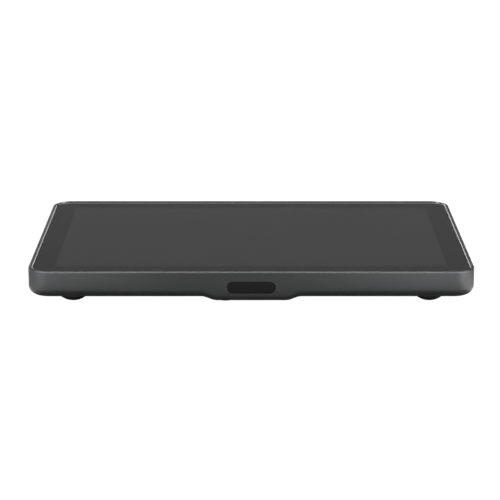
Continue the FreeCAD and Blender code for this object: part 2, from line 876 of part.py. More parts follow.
def make_chassis():
    half, notch = "(chassis_width / 2)", "(chassis_notch / 2)"
    body = new_body("chassis_body")
    sk = sketch(body, "outline", level="chassis_level")
    polygon(
        sk,
        [
            (f"-{half}", "chassis_front"),
            (f"-{notch}", "chassis_front"),
            (f"-{notch}", "chassis_front + chassis_notch_depth"),
            (notch, "chassis_front + chassis_notch_depth"),
            (notch, "chassis_front"),
            (half, "chassis_front"),
            (half, "chassis_back"),
            (f"-{half}", "chassis_back"),
        ],
    )
    pad(body, sk, "chassis_thick")
    sk = sketch(body, "screw_holes", level="chassis_level + chassis_thick")
    circles(sk, CHASSIS_POSTS, "screw_small_shank + clearance")
    pocket(body, sk, "chassis_thick")
    keep("chassis_plate", lean(body))
    made = screws(
        "chassis_screw", CHASSIS_POSTS, "chassis_level + chassis_thick", "small", "chassis_thick + 3.8"
    )
    keep("chassis_screws", lean(made))


def make_main_board():
    board = plate(
        "board_body", "board_left", "board_front", "board_right",
        "board_back", "board_level", "board_thick", "2"
    )
    sk = sketch(board, "screw_holes", level=BOARD_TOP)
    circles(sk, BOARD_POSTS, "screw_small_shank + clearance")
    pocket(board, sk, "board_thick")
    keep("main_board", lean(board))
    keep("board_screws", lean(screws("board_screw", BOARD_POSTS, BOARD_TOP, "small", "board_thick + 1.8")))

    middle = "can_middle"
    cans, pads = [], []
    for tag, left, side, chip in (
        ("processor", "can_left", "can_side", "chip_side"),
        ("radio", "can_right", "can_small", "memory_side"),
    ):
        outer = block(
            tag + "_can_outer", left, f"{middle} - {side} / 2", BOARD_TOP, side, side, "can_height"
        )
        inner = block(
            tag + "_can_inner",
            f"{left} + can_thick",
            f"{middle} - {side} / 2 + can_thick",
            f"{BOARD_TOP} - 1",
            f"{side} - 2 * can_thick",
            f"{side} - 2 * can_thick",
            "can_height - can_thick + 1",
        )
        cans.append(less(tag + "_can", outer, inner))
        centre = f"({left} + {side} / 2 - {chip} / 2)"
        pads.append(
            block(
                tag + "_pad",
                centre,
                f"{middle} - {chip} / 2",
                f"{BOARD_TOP} + chip_thick",
                chip,
                chip,
                "can_height - can_thick - chip_thick",
            )
        )
    keep("shield_cans", lean(group("cans", *cans)))
    keep("thermal_pads", lean(group("pads", *pads)))

    chips = []
    for tag, left, along, side in (
        ("processor", "can_left + can_side / 2 - chip_side / 2", "can_middle - chip_side / 2", "chip_side"),
        (
            "radio", "can_right + can_small / 2 - memory_side / 2",
            "can_middle - memory_side / 2", "memory_side",
        ),
        ("power", "board_left + 8", "board_front + 12", "9"),
        ("codec", "board_left + 10", "board_back - 22", "7"),
        ("coil_one", "board_right - 20", "board_back - 19", "6"),
        ("coil_two", "board_right - 20", "board_front + 12", "6"),
    ):
        chips.append(block(tag + "_chip", left, along, BOARD_TOP, side, side, "chip_thick"))
    keep("board_chips", lean(group("chips", *chips)))

    plugs = [
        block("display_socket", "-16", "board_back - 8.5", BOARD_TOP, "32", "4", "1.2"),
        block("touch_socket", "23", "board_back - 8.5", BOARD_TOP, "14", "4", "1.2"),
        block("sensor_socket", "-5", "board_front + 1.5", BOARD_TOP, "10", "4", "1.0"),
        block(
            "port_socket", "-port_ribbon_width / 2 - 1",
            "pass_front + pass_depth / 2 - 1.4", "board_level - 1.3",
            "port_ribbon_width + 2", "2.8", "1.3",
        ),
    ]
    keep("board_sockets", lean(group("sockets", *plugs)))


def make_antennas():
    outside = "(body_width / 2 - wall_width - 0.05)"
    for label, left in (
        ("antenna_left", f"-{outside}"),
        ("antenna_right", f"{outside} - antenna_thick"),
    ):
        strip = block(
            label + "_strip",
            left,
            "antenna_front",
            "antenna_low",
            "antenna_thick",
            "antenna_length",
            "antenna_high - antenna_low",
        )
        keep(label, lean(strip))


def make_ribbons():
    start, level = f"({MODULE_MIDDLE} + panel_depth / 2 + 0.1)", f"({PANEL_LOW} + panel_thick / 2)"
    back = "display_ribbon_back"
    path = [(start, level), (back, level), (back, "socket_level"), ("board_back - 8", "socket_level")]
    display = ribbon("display_strip", path, "-display_ribbon_width / 2", "display_ribbon_width")
    keep("display_ribbon", place_ribbon(display))

    level, back = f"({TOUCH_LOW} - 0.2)", "touch_ribbon_back"
    path = [("155", level), (back, level), (back, "socket_level"), ("board_back - 8", "socket_level")]
    keep("touch_ribbon", place_ribbon(ribbon("touch_strip", path, "24", "touch_ribbon_width")))

    path = [("9.75", "4"), ("20", "4"), ("25", "5.95"), ("81", "5.95")]
    sensor = ribbon("sensor_strip", path, "-sensor_ribbon_width / 2", "sensor_ribbon_width")
    keep("sensor_ribbon", place_ribbon(sensor))

    along, low = "(pass_front + pass_depth / 2)", "(board_level - 1.3)"
    end = f"({SHIFT} + {along} * cos(tilt) - {low} * sin(tilt))"
    top = f"({LIFT} + {along} * sin(tilt) + {low} * cos(tilt) - 0.1)"
    path = [("14", f"{PORT_TOP} + 1.65"), ("14", "19.5"), (end, "22.5"), (end, top)]
    keep("port_ribbon", ribbon("port_strip", path, "-port_ribbon_width / 2", "port_ribbon_width"))


def place_ribbon(strip):
    """Leans a ribbon whose own placement already moves it sideways."""
    left = strip.Placement.Base.x
    lean(strip)
    strip.Placement.Base.x = left
    return strip


# ---------------------------------------------------------------- chin: presence sensor, plug and feet


def make_sensor():
    body = new_body("window_body")
    sk = sketch(body, "lens", "XZ", "-window_recess")
    slot_outline(
        sk, "window_length - 2 * window_gap", "window_level", "window_height / 2 - window_gap"
    )
    pad(body, sk, "flange_start + flange_thick - window_recess", backwards=True)
    sk = sketch(body, "flange", "XZ", "-(flange_start + 0.02)")
    margin = "(flange_margin - window_gap)"
    slot_outline(sk, f"window_length + 2 * {margin}", "window_level", f"window_height / 2 + {margin}")
    pad(body, sk, "flange_thick - 0.02", backwards=True)
    keep("sensor_window", lean(body))

    can_back = "(sensor_front + sensor_length)"
    can = rod(
        "sensor_can", "sensor_left", "sensor_front", "window_level", "sensor_radius", "sensor_length", "y"
    )
    keep("presence_sensor", lean(can))
    light = block(
        "light_can",
        "light_sensor_left - light_sensor_side / 2",
        f"{can_back} - light_sensor_thick",
        "window_level - light_sensor_side / 2",
        "light_sensor_side",
        "light_sensor_thick",
        "light_sensor_side",
    )
    keep("light_sensor", lean(light))
    board = block(
        "sensor_board_blank",
        "-sensor_board_half",
        can_back,
        "sensor_board_low",
        "2 * sensor_board_half",
        "sensor_board_thick",
        "sensor_board_high - sensor_board_low",
    )
    keep("sensor_board", lean(board))

    board_back = f"({can_back} + sensor_board_thick)"
    upright = block(
        "carrier_upright", "-sensor_board_half", f"{board_back} + 0.05",
        "floor_thick", "2 * sensor_board_half",
        "carrier_thick", "sensor_board_high - floor_thick",
    )
    foot = block(
        "carrier_foot", "-sensor_board_half", f"{board_back} + 0.05",
        "floor_thick", "2 * sensor_board_half",
        f"carrier_back - {board_back}", "carrier_foot",
    )
    passage = block("carrier_passage", "-5", f"{board_back} - 1", "3.2", "10", "4", "2")
    holes = [
        rod(f"carrier_hole_{i}", x, y, "0", "screw_small_shank + clearance", "6")
        for i, (x, y) in enumerate(CARRIER_SCREWS, 1)
    ]
    carrier = less("carrier", joined("carrier_solid", upright, foot), passage, *holes)
    keep("sensor_carrier", lean(carrier))
    made = screws(
        "carrier_screw", CARRIER_SCREWS, "floor_thick + carrier_foot", "small", "carrier_foot + 1.0"
    )
    keep("carrier_screws", lean(made))


def make_plug():
    under = "(-chin_drop)"
    head = rod(
        "plug_head", "plug_left", "plug_back", f"{under} - plug_proud", "plug_radius", "plug_proud - 0.02"
    )
    stem = rod(
        "plug_stem", "plug_left", "plug_back", f"{under} - 0.1", "plug_stem", "chin_drop + floor_thick"
    )
    keep("chin_plug", lean(joined("plug", head, stem)))


def make_front_feet():
    centre = f"((front_foot_ball - {LIFT} - front_foot_back * sin(tilt)) / cos(tilt))"
    for label, across in (
        ("front_foot_left", "-front_foot_spread"), ("front_foot_right", "front_foot_spread")
    ):
        ball = doc.addObject("Part::Sphere", label + "_ball")
        bind(ball, Radius="front_foot_ball")
        bind(
            ball, Placement__Base__x=across,
            Placement__Base__y="front_foot_back", Placement__Base__z=centre
        )
        skirt = rod(
            label + "_skirt", across, "front_foot_back", f"{centre} - front_foot_ball", "front_foot_radius",
            f"front_foot_ball - {centre} + front_foot_sunk",
        )
        foot = doc.addObject("Part::MultiCommon", label + "_solid")
        foot.Shapes = [ball, skirt]
        keep(label, lean(foot))


# ---------------------------------------------------------------- base


INSERTS = [
    (f"{side}insert_pitch / 2", f"insert_middle {end} insert_pitch / 2")
    for side in ("-", "")
    for end in ("-", "+")
]
PORT_POSTS = [
    (across, along)
    for across in ("port_board_left + port_board_inset", "port_board_right - port_board_inset")
    for along in ("port_board_front + port_board_inset", "port_board_back - port_board_inset")
]
CONNECTORS = (
    ("power", "power_left", "power_width", "power_height"),
    ("hdmi", "hdmi_left", "hdmi_width", "hdmi_height"),
    ("usb", "usb_left", "usb_width", "usb_height"),
    ("audio", "audio_left", "audio_width", "audio_height"),
)


def base_blank():
    """The base's walls, floor and cable bay before it is cut to the slope of the body above."""
    half, top = "(base_width / 2)", "(base_low + base_rise)"
    body = new_body("base_body")
    sk = sketch(body, "outline", level="base_low")
    rounded_rectangle(sk, f"-{half}", "base_front", half, "base_back", "base_corner")
    pad(body, sk, "base_rise")
    dress(body, "Fillet", "base_edge", at_level("base_low"))
    sk = sketch(body, "chamber", level=top)
    rounded_rectangle(
        sk,
        f"-{half} + base_wall",
        "base_front + base_wall",
        f"{half} - base_wall",
        "base_back - base_wall",
        "base_corner - base_wall",
    )
    pocket(body, sk, "base_rise - base_wall")
    sk = sketch(body, "bay_walls", level=f"{BASE_FLOOR} - 0.5")
    rectangle(
        sk, "-(bay_half + bay_wall)", "bay_front - bay_wall",
        "bay_half + bay_wall", "base_back - base_wall / 2"
    )
    pad(body, sk, "base_rise - base_wall + 0.5")
    sk = sketch(body, "bay", level=top)
    rectangle(sk, "-bay_half", "bay_front", "bay_half", "base_back - base_wall")
    pocket(body, sk, "base_rise - base_wall")
    sk = sketch(body, "mouth", "XZ", "-(base_back + 1)")
    rounded_rectangle(sk, "-mouth_half", "mouth_low", "mouth_half", "mouth_high", "mouth_corner")
    pocket(body, sk, "base_wall + 1.2", backwards=True)
    return body


def base_additions():
    """Bosses, posts, rails, stops and hinge ears that stand inside the base."""
    made = []
    for i, (x, along) in enumerate(BASE_SCREWS, 1):
        length = f"(({LIFT} + ({along}) * sin(tilt) - base_low - base_wall / 2) / cos(tilt))"
        made.append(lean(rod(f"base_boss_{i}", x, along, f"-{length}", "boss_radius", f"{length} + 1")))
    for i, (x, y) in enumerate(INSERTS, 1):
        made.append(rod(
            f"insert_boss_{i}", x, y, "base_low + 0.5", "insert_boss", "insert_boss_high - 0.5"
        ))
    for i, (x, y) in enumerate(PORT_POSTS, 1):
        made.append(
            rod(
                f"port_post_{i}", x, y, f"{BASE_FLOOR} - 0.5",
                "port_post_radius", f"port_board_level - {BASE_FLOOR} + 0.5"
            )
        )
    wall = "(bay_half + 0.2)"
    for side, left in (("left", f"-{wall}"), ("right", f"{wall} - rail_reach - 0.2")):
        for row, low in (
            ("low", "cover_arm_level - cover_gap - rail_height"),
            ("high", "cover_arm_level + cover_arm_height + cover_gap"),
        ):
            made.append(
                block(
                    f"rail_{side}_{row}", left, "base_back - base_wall - rail_length - 2", low,
                    "rail_reach + 0.2", "rail_length", "rail_height",
                )
            )
    for side, left in (("left", f"-{wall}"), ("right", f"{wall} - stop_width - 0.2")):
        made.append(
            block(
                f"stop_{side}", left, f"{STOP_FACE} - stop_depth", f"{BASE_FLOOR} - 0.5",
                "stop_width + 0.2", "stop_depth", f"stop_high - {BASE_FLOOR} + 0.5",
            )
        )
    for side, left in (("left", "-(clamp_half + ear_gap + ear_thick)"), ("right", "clamp_half + ear_gap")):
        made.append(
            block(
                f"ear_{side}", left, "clamp_back - ear_radius", f"{BASE_FLOOR} - 0.5",
                "ear_thick", "2 * ear_radius", f"clamp_level - {BASE_FLOOR} + 0.5",
            )
        )
        made.append(rod(
            f"ear_round_{side}", left, "clamp_back", "clamp_level", "ear_radius", "ear_thick", "x"
        ))
    return made


def base_cuts():
    """Everything that is cut out of the base once its bosses and posts are in."""
    above = block("above_slope", "-body_width", "-body_depth", "0", "2 * body_width", "3 * body_depth", "80")
    made = [lean(above)]
    for i, (x, along) in enumerate(BASE_SCREWS, 1):
        made.append(lean(rod(
            f"boss_bore_{i}", x, along, "-boss_bore_depth", "boss_bore", "boss_bore_depth + 1"
        )))
    for i, (x, y) in enumerate(INSERTS, 1):
        made.append(rod(
            f"insert_hole_{i}", x, y, "base_low - 1", "insert_radius + thread_gap", "insert_length + 1.1"
        ))
    for i, (x, y) in enumerate(PORT_POSTS, 1):
        depth = f"(port_board_level - {BASE_FLOOR})"
        made.append(rod(
            f"port_bore_{i}", x, y, BASE_FLOOR, "screw_small_shank + thread_gap", f"{depth} + 1"
        ))
    for tag, left, width, high in CONNECTORS:
        made.append(
            block(
                f"{tag}_opening", f"{left} - {width} / 2 - port_gap",
                "bay_front - bay_wall - 1", f"{PORT_TOP} - port_gap",
                f"{width} + 2 * port_gap", "bay_wall + 2", f"{high} + 2 * port_gap",
            )
        )
    made.append(
        rod("reset_hole", "reset_left", "bay_front - bay_wall - 1", RESET_LEVEL, "reset_radius + reset_gap",
            "bay_wall + 2", "y")
    )
    for i, x in enumerate(("-magnet_spread", "magnet_spread"), 1):
        made.append(
            rod(f"magnet_hole_{i}", x, f"{STOP_FACE} - magnet_thick - 0.05", "magnet_level",
                "magnet_radius + 0.05", "magnet_thick + 1", "y")
        )
    made.append(
        rod("pin_hole", "-(clamp_half + ear_gap + ear_thick + 1)", "clamp_back", "clamp_level",
            "pin_radius + pin_gap / 2", "2 * (clamp_half + ear_gap + ear_thick + 1)", "x")
    )
    for i, x in enumerate(("-rear_foot_spread", "rear_foot_spread"), 1):
        made.append(
            block(
                f"rear_foot_seat_{i}", f"{x} - rear_foot_length / 2 - 0.05",
                "rear_foot_back - rear_foot_width / 2 - 0.05", "base_low - 1",
                "rear_foot_length + 0.1", "rear_foot_width + 0.1", "rear_foot_sunk + 1",
            )
        )
    made.append(
        block(
            "lock_opening", "base_width / 2 - base_wall - 1", "lock_side_back - lock_length / 2",
            "lock_level - lock_height / 2", "base_wall + 2", "lock_length", "lock_height",
        )
    )
    return made


def make_base():
    solid = joined("base_solid", base_blank(), *base_additions())
    keep("base_shell", less("base", solid, *base_cuts()))
    made = screws("base_screw", BASE_SCREWS, "floor_thick", "large", "floor_thick + 7")
    keep("base_screws", lean(made))
    rings = []
    for i, (x, y) in enumerate(INSERTS, 1):
        outer = rod(f"insert_outer_{i}", x, y, "base_low", "insert_radius", "insert_length")
        inner = rod(f"insert_bore_{i}", x, y, "base_low - 1", "insert_bore", "insert_length + 2")
        rings.append(less(f"insert_{i}", outer, inner))
    keep("mount_inserts", group("inserts", *rings))
    for label, x in (("rear_foot_left", "-rear_foot_spread"), ("rear_foot_right", "rear_foot_spread")):
        foot = plate(
            label + "_body", f"{x} - rear_foot_length / 2", "rear_foot_back - rear_foot_width / 2",
            f"{x} + rear_foot_length / 2", "rear_foot_back + rear_foot_width / 2", "0",
            "base_low + rear_foot_sunk", "1.5",
        )
        dress(foot, "Fillet", "0.5", at_level("0"))
        keep(label, foot)
    slot = block(
        "lock_slot", "base_width / 2 - base_wall - 4", "lock_side_back - lock_length / 2",
        "lock_level - lock_height / 2", "6", "lock_length", "lock_height",
    )
    blank = block(
        "lock_blank", "base_width / 2 - base_wall - lock_plate_thick - 0.02",
        "lock_side_back - lock_plate_length / 2", "lock_level - lock_plate_height / 2 + 0.5",
        "lock_plate_thick", "lock_plate_length", "lock_plate_height",
    )
    keep("lock_plate", less("lock", blank, slot))
    keep(
        "ballast_plate",
        plate(
            "ballast_body", "-ballast_half", "ballast_front",
            "ballast_half", "ballast_front + ballast_depth",
            f"{BASE_FLOOR} + 0.02", "ballast_thick", "2",
        ),
    )


# ---------------------------------------------------------------- connectors


def make_port_board():
    board = plate(
        "port_board_body", "port_board_left", "port_board_front", "port_board_right", "port_board_back",
        "port_board_level", "port_board_thick", "1",
    )
    sk = sketch(board, "screw_holes", level=PORT_TOP)
    circles(sk, PORT_POSTS, "screw_small_shank + clearance")
    pocket(board, sk, "port_board_thick")
    keep("port_board", board)
    made = screws("port_screw", PORT_POSTS, PORT_TOP, "small", "port_board_thick + 3.8")
    keep("port_board_screws", made)
    header = block(
        "port_header", "-port_ribbon_width / 2 - 1", "12.4", PORT_TOP, "port_ribbon_width + 2", "3.2", "1.5"
    )
    keep("port_header", header)


def connector(tag, depth):
    """The outer block of a connector, flush with the bay's front wall."""
    _, left, width, high = next(c for c in CONNECTORS if c[0] == tag)
    return block(
        tag + "_block", f"{left} - {width} / 2", f"{PORT_FACE} - {depth}", PORT_TOP, width, depth, high
    )


def make_connectors():
    level = f"({PORT_TOP} + power_level)"
    barrel = rod("power_barrel", "power_left", f"{PORT_FACE} - 9.5", level, "power_bore", "12", "y")
    shell = less("power_shell", connector("power", "power_depth"), barrel)
    pin = rod("power_pin_rod", "power_left", f"{PORT_FACE} - 9.6", level, "power_pin", "8.6", "y")
    keep("power_jack", joined("power", shell, pin))

    body = new_body("hdmi_body")
    half, low, high = "(hdmi_width / 2)", PORT_TOP, f"({PORT_TOP} + hdmi_height)"
    sk = sketch(body, "shell", "XZ", f"-{PORT_FACE}")
    mouth_outline(sk, "hdmi_left", half, low, high, "1.8")
    pad(body, sk, "hdmi_depth")
    sk = sketch(body, "mouth", "XZ", f"-({PORT_FACE} + 1)")
    mouth_outline(
        sk, "hdmi_left", f"({half} - shell_thick)",
        f"({low} + shell_thick)", f"({high} - shell_thick)", "1.6"
    )
    pocket(body, sk, "9.5", backwards=True)
    tongue = block(
        "hdmi_tongue", "hdmi_left - 5.4", f"{PORT_FACE} - 9",
        f"{PORT_TOP} + hdmi_height / 2 - 0.3", "10.8", "7.6", "1.2"
    )
    keep("hdmi_port", joined("hdmi", body, tongue))

    body = new_body("usb_body")
    high = "usb_height / 2"
    sk = sketch(body, "shell", "XZ", f"-{PORT_FACE}")
    stadium(sk, "usb_left", "usb_width", f"{PORT_TOP} + {high}", high)
    pad(body, sk, "usb_depth")
    sk = sketch(body, "mouth", "XZ", f"-({PORT_FACE} + 1)")
    stadium(sk, "usb_left", "usb_width - 2 * shell_thick", f"{PORT_TOP} + {high}", f"{high} - shell_thick")
    pocket(body, sk, "7.2", backwards=True)
    tongue = block(
        "usb_tongue", "usb_left - 3.3", f"{PORT_FACE} - 6.4",
        f"{PORT_TOP} + {high} - 0.35", "6.6", "5.6", "0.7"
    )
    keep("usb_c_port", joined("usb", body, tongue))

    level = f"({PORT_TOP} + audio_height / 2)"
    collar = rod("audio_collar_rod", "audio_left", f"{PORT_FACE} - 2", level, "audio_collar", "1.9", "y")
    bore = rod("audio_bore_rod", "audio_left", f"{PORT_FACE} - 10.5", level, "audio_bore", "14", "y")
    keep(
        "audio_jack",
        less("audio", joined("audio_solid", connector("audio", "audio_depth"), collar), bore)
    )


def mouth_outline(sk, middle, half, low, high, step):
    """A rectangle whose two lower corners are cut off at a slant."""
    polygon(
        sk,
        [
            (f"{middle} - {half} + {step}", low),
            (f"{middle} + {half} - {step}", low),
            (f"{middle} + {half}", f"{low} + {step}"),
            (f"{middle} + {half}", high),
            (f"{middle} - {half}", high),
            (f"{middle} - {half}", f"{low} + {step}"),
        ],
    )


def stadium(sk, middle, width, level, radius):
    """A level slot with round ends whose middle is off the body's centre line."""
    rounded_rectangle(
        sk,
        f"{middle} - ({width}) / 2",
        f"{level} - ({radius})",
        f"{middle} + ({width}) / 2",
        f"{level} + ({radius})",
        f"({radius}) - 0.05",
    )


def make_reset():
    back = "(bay_front + reset_proud - reset_length)"
    stem = rod("reset_stem", "reset_left", back, RESET_LEVEL, "reset_radius", "reset_length", "y")
    flange = rod(
        "reset_flange_disc", "reset_left", "bay_front - bay_wall - 0.15 - reset_flange_thick", RESET_LEVEL,
        "reset_flange", "reset_flange_thick", "y",
    )
    keep("reset_button", joined("reset", stem, flange))
    face = f"({back} - reset_travel - switch_gap)"
    switch = block(
        "switch_block", "reset_left - switch_side / 2",
        f"{face} - switch_plunger_out - switch_depth", PORT_TOP,
        "switch_side", "switch_depth", "switch_height",
    )
    plunger = rod(
        "switch_plunger_rod", "reset_left",
        f"{face} - switch_plunger_out - 0.5", RESET_LEVEL, "switch_plunger",
        "switch_plunger_out + 0.5", "y",
    )
    keep("reset_switch", joined("switch", switch, plunger))


# ---------------------------------------------------------------- cable cover and clamp


def make_cover():
    body = new_body("cover_body")
    half = "(mouth_half - cover_gap)"
    low, high = "(mouth_low + cover_gap)", "(mouth_high - cover_gap)"
    sk = sketch(body, "plate", "XZ", "-base_back")
    rounded_rectangle(sk, f"-{half}", low, half, high, "mouth_corner - cover_gap")
    pad(body, sk, "cover_thick")
    sk = sketch(body, "outlet", "XZ", "-(base_back + 1)")
    rounded_rectangle(
        sk, "-outlet_width / 2", f"{low} - outlet_height",
        "outlet_width / 2", f"{low} + outlet_height", "outlet_corner"
    )
    pocket(body, sk, "cover_thick + 2", backwards=True)
    sk = sketch(body, "pull", "XZ", "-(base_back + 1)")
    rounded_rectangle(
        sk, "-pull_width / 2", f"{high} - pull_height - 3",
        "pull_width / 2", f"{high} - 3", "pull_height / 2 - 0.1"
    )
    pocket(body, sk, "pull_depth + 1", backwards=True)
    dress(body, "Fillet", "cover_edge", at_depth("base_back"))
    sk = sketch(body, "arms", "XZ", "-(base_back - cover_thick / 2)")
    for side in ("-", ""):
        outer, inner = f"{side}{half}", f"{side}({half} - cover_arm_thick)"
        left, right = (outer, inner) if side else (inner, outer)
        rectangle(sk, left, "cover_arm_level", right, "cover_arm_level + cover_arm_height")
    pad(body, sk, "cover_arm_length + cover_thick / 2")
    keep("cable_cover", body)
    for label, face in (
        ("cover_magnets", "base_back - cover_thick - magnet_thick"),
        ("bay_magnets", f"{STOP_FACE} - magnet_thick"),
    ):
        discs = [
            rod(f"{label}_{i}", x, face, "magnet_level", "magnet_radius", "magnet_thick", "y")
            for i, x in enumerate(("-magnet_spread", "magnet_spread"), 1)
        ]
        keep(label, group(label + "_pair", *discs))


def make_clamp():
    barrel = rod(
        "clamp_barrel_rod", "-clamp_half", "clamp_back",
        "clamp_level", "clamp_barrel", "2 * clamp_half", "x"
    )
    bar = block(
        "clamp_bar", "-clamp_half", "clamp_back",
        "clamp_level - clamp_thick / 2", "2 * clamp_half", "clamp_reach",
        "clamp_thick",
    )
    teeth = [
        block(
            f"clamp_tooth_{i}", "-clamp_half", f"clamp_back + clamp_reach - {step}",
            "clamp_level - clamp_thick / 2 - clamp_tooth", "2 * clamp_half", "1", "clamp_tooth + 0.5",
        )
        for i, step in enumerate(("1", "3.5", "6"), 1)
    ]
    bore = rod(
        "clamp_bore", "-(clamp_half + 1)", "clamp_back", "clamp_level",
        "pin_radius + pin_gap", "2 * (clamp_half + 1)", "x"
    )
    keep("cable_clamp", less("clamp", joined("clamp_solid", barrel, bar, *teeth), bore))
    reach = "(clamp_half + ear_gap + ear_thick)"
    keep(
        "clamp_pin",
        rod("clamp_pin_rod", f"-{reach}", "clamp_back", "clamp_level", "pin_radius", f"2 * {reach}", "x")
    )


# ---------------------------------------------------------------- build, check and write


def check():
    doc.recompute()
    bad = [obj.Label for obj in doc.Objects if {"Invalid", "Error"} & set(obj.State)]
    bad += [label for label, obj in nodes.items() if obj.Shape.isNull() or not obj.Shape.isValid()]
    if bad:
        raise RuntimeError("not sound: " + ", ".join(sorted(set(bad))))


def write():
    os.makedirs("parts", exist_ok=True)
    for label, obj in nodes.items():
        obj.Shape.exportStep(f"parts/{label}.step")


fill_sheet()
make_housing()
make_glass()
make_screen()
make_chassis()
make_main_board()
make_antennas()
make_ribbons()
make_sensor()
make_plug()
make_front_feet()
make_base()
make_port_board()
make_connectors()
make_reset()
make_cover()
make_clamp()
check()
write()
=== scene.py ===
"""Looks for the low tabletop touch display: finishes, detailed pieces, studio and camera. Metres."""

import json
import math

import bmesh
import bpy
from mathutils import Matrix, Vector


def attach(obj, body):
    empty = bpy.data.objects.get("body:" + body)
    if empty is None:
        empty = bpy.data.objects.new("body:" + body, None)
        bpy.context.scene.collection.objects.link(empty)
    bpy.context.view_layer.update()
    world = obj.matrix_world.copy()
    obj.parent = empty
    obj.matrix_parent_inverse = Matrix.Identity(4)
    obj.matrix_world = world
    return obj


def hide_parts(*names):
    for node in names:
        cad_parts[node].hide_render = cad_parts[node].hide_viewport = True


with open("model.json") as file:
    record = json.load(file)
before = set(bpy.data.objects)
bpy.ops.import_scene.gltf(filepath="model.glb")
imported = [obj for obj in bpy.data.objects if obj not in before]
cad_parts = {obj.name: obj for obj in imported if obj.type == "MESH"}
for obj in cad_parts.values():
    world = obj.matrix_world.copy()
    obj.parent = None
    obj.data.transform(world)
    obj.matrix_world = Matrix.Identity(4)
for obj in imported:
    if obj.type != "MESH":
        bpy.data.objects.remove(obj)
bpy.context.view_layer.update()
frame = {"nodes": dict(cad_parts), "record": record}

MM = 0.001
TOLERANCE = 1e-6

# Sizes of the flat body in its own frame, in millimetres, as the CAD model has them.
BODY_WIDTH, BODY_DEPTH, BODY_THICK = 246.3, 166.5, 15.0
CORNER, BELLY = 11.8, 4.9
TILT = math.radians(14.0)
LIP_HEIGHT = 16.1
RIM_LAND, RIM_ROUND, RIM_CHAMFER = 1.75, 0.5, 0.5
OPENING = RIM_LAND + RIM_CHAMFER
GLASS_GAP, GLASS_THICK = 0.15, 1.1
GLASS_LOW = BODY_THICK - RIM_CHAMFER - GLASS_THICK
TAPE_THICK = 0.2
SEAT_LEVEL = GLASS_LOW - TAPE_THICK
WALL, FLOOR = 5.2, 1.6
SCREEN_WIDTH, SCREEN_DEPTH, SCREEN_FRONT = 216.96, 135.6, 14.25
CHIN_HALF, CHIN_BLEND, CHIN_DROP, CHIN_RADIUS = 19.0, 8.6, 1.8, 3.0
CHIN_FLAT, CHIN_DEPTH = 14.0, 22.0
WINDOW_LENGTH, WINDOW_HEIGHT, WINDOW_LEVEL, WINDOW_RECESS = 27.0, 6.8, 6.1, 0.35
FLANGE_START, FLANGE_BACK, FLANGE_MARGIN = 3.0, 4.4, 1.0
FOOT_SPREAD, FOOT_BACK, FOOT_BALL, FOOT_SKIRT, FOOT_SUNK = 98.8, 16.0, 11.6, 8.5, 0.4
PLUG_PLACE, PLUG_RADIUS, PLUG_STEM, PLUG_PROUD, PLUG_EDGE = (-14.0, 8.0), 4.4, 1.8, 0.62, 0.3

# Fine detail that only these meshes have, in millimetres.
BRIGHT_WIDTH = 0.34
MOUTH_BEVEL = 0.10
GLASS_EDGE = 0.25
HAIRLINE = 0.02

# The body's materials by number, the third being painted light on chosen edges; how far from the
# rear the cut beside the glass takes it instead of the bright cut, as painted shade, how far from the
# front the outer edge takes it as a painted highlight, and the height of the rim's straight outside, in
# millimetres.
PLAIN, BRIGHT, PAINTED_LIGHT = 0, 1, 2
REAR_PAINTED_SHADE, FRONT_PAINTED_HIGHLIGHT = 0.6 * CORNER, 0.7 * CORNER
RIM_WALL = 1.4

# Sections of the body's front edge, in millimetres above its underside: the level that the wall's
# two halves share, and where the wall starts to turn under, plainly and at the chin.
WALL_MIDDLE, PLAIN_TURN, CHIN_TURN = 8.0, 6.4, 5.0
ROUND_STEPS, BELLY_STEPS = 6, 14


def underside_lift():
    """Height of the underside's front edge above the table, in millimetres."""
    return LIP_HEIGHT - BODY_THICK * math.cos(TILT)


def slab_matrix():
    """The flat body's own frame in the row frame, from millimetres to metres."""
    lift = underside_lift()
    front = RIM_ROUND * math.cos(TILT) - (BODY_THICK - RIM_ROUND) * math.sin(TILT) - RIM_ROUND
    back = (BODY_DEPTH - BELLY) * math.cos(TILT) - BELLY * math.sin(TILT) + BELLY
    shift = -(front + back) / 2
    return (
        Matrix.Scale(MM, 4) @ Matrix.Translation((0, shift, lift)) @ Matrix.Rotation(TILT, 4, "X")
    )


SLAB = slab_matrix()


# ---------------------------------------------------------------- materials


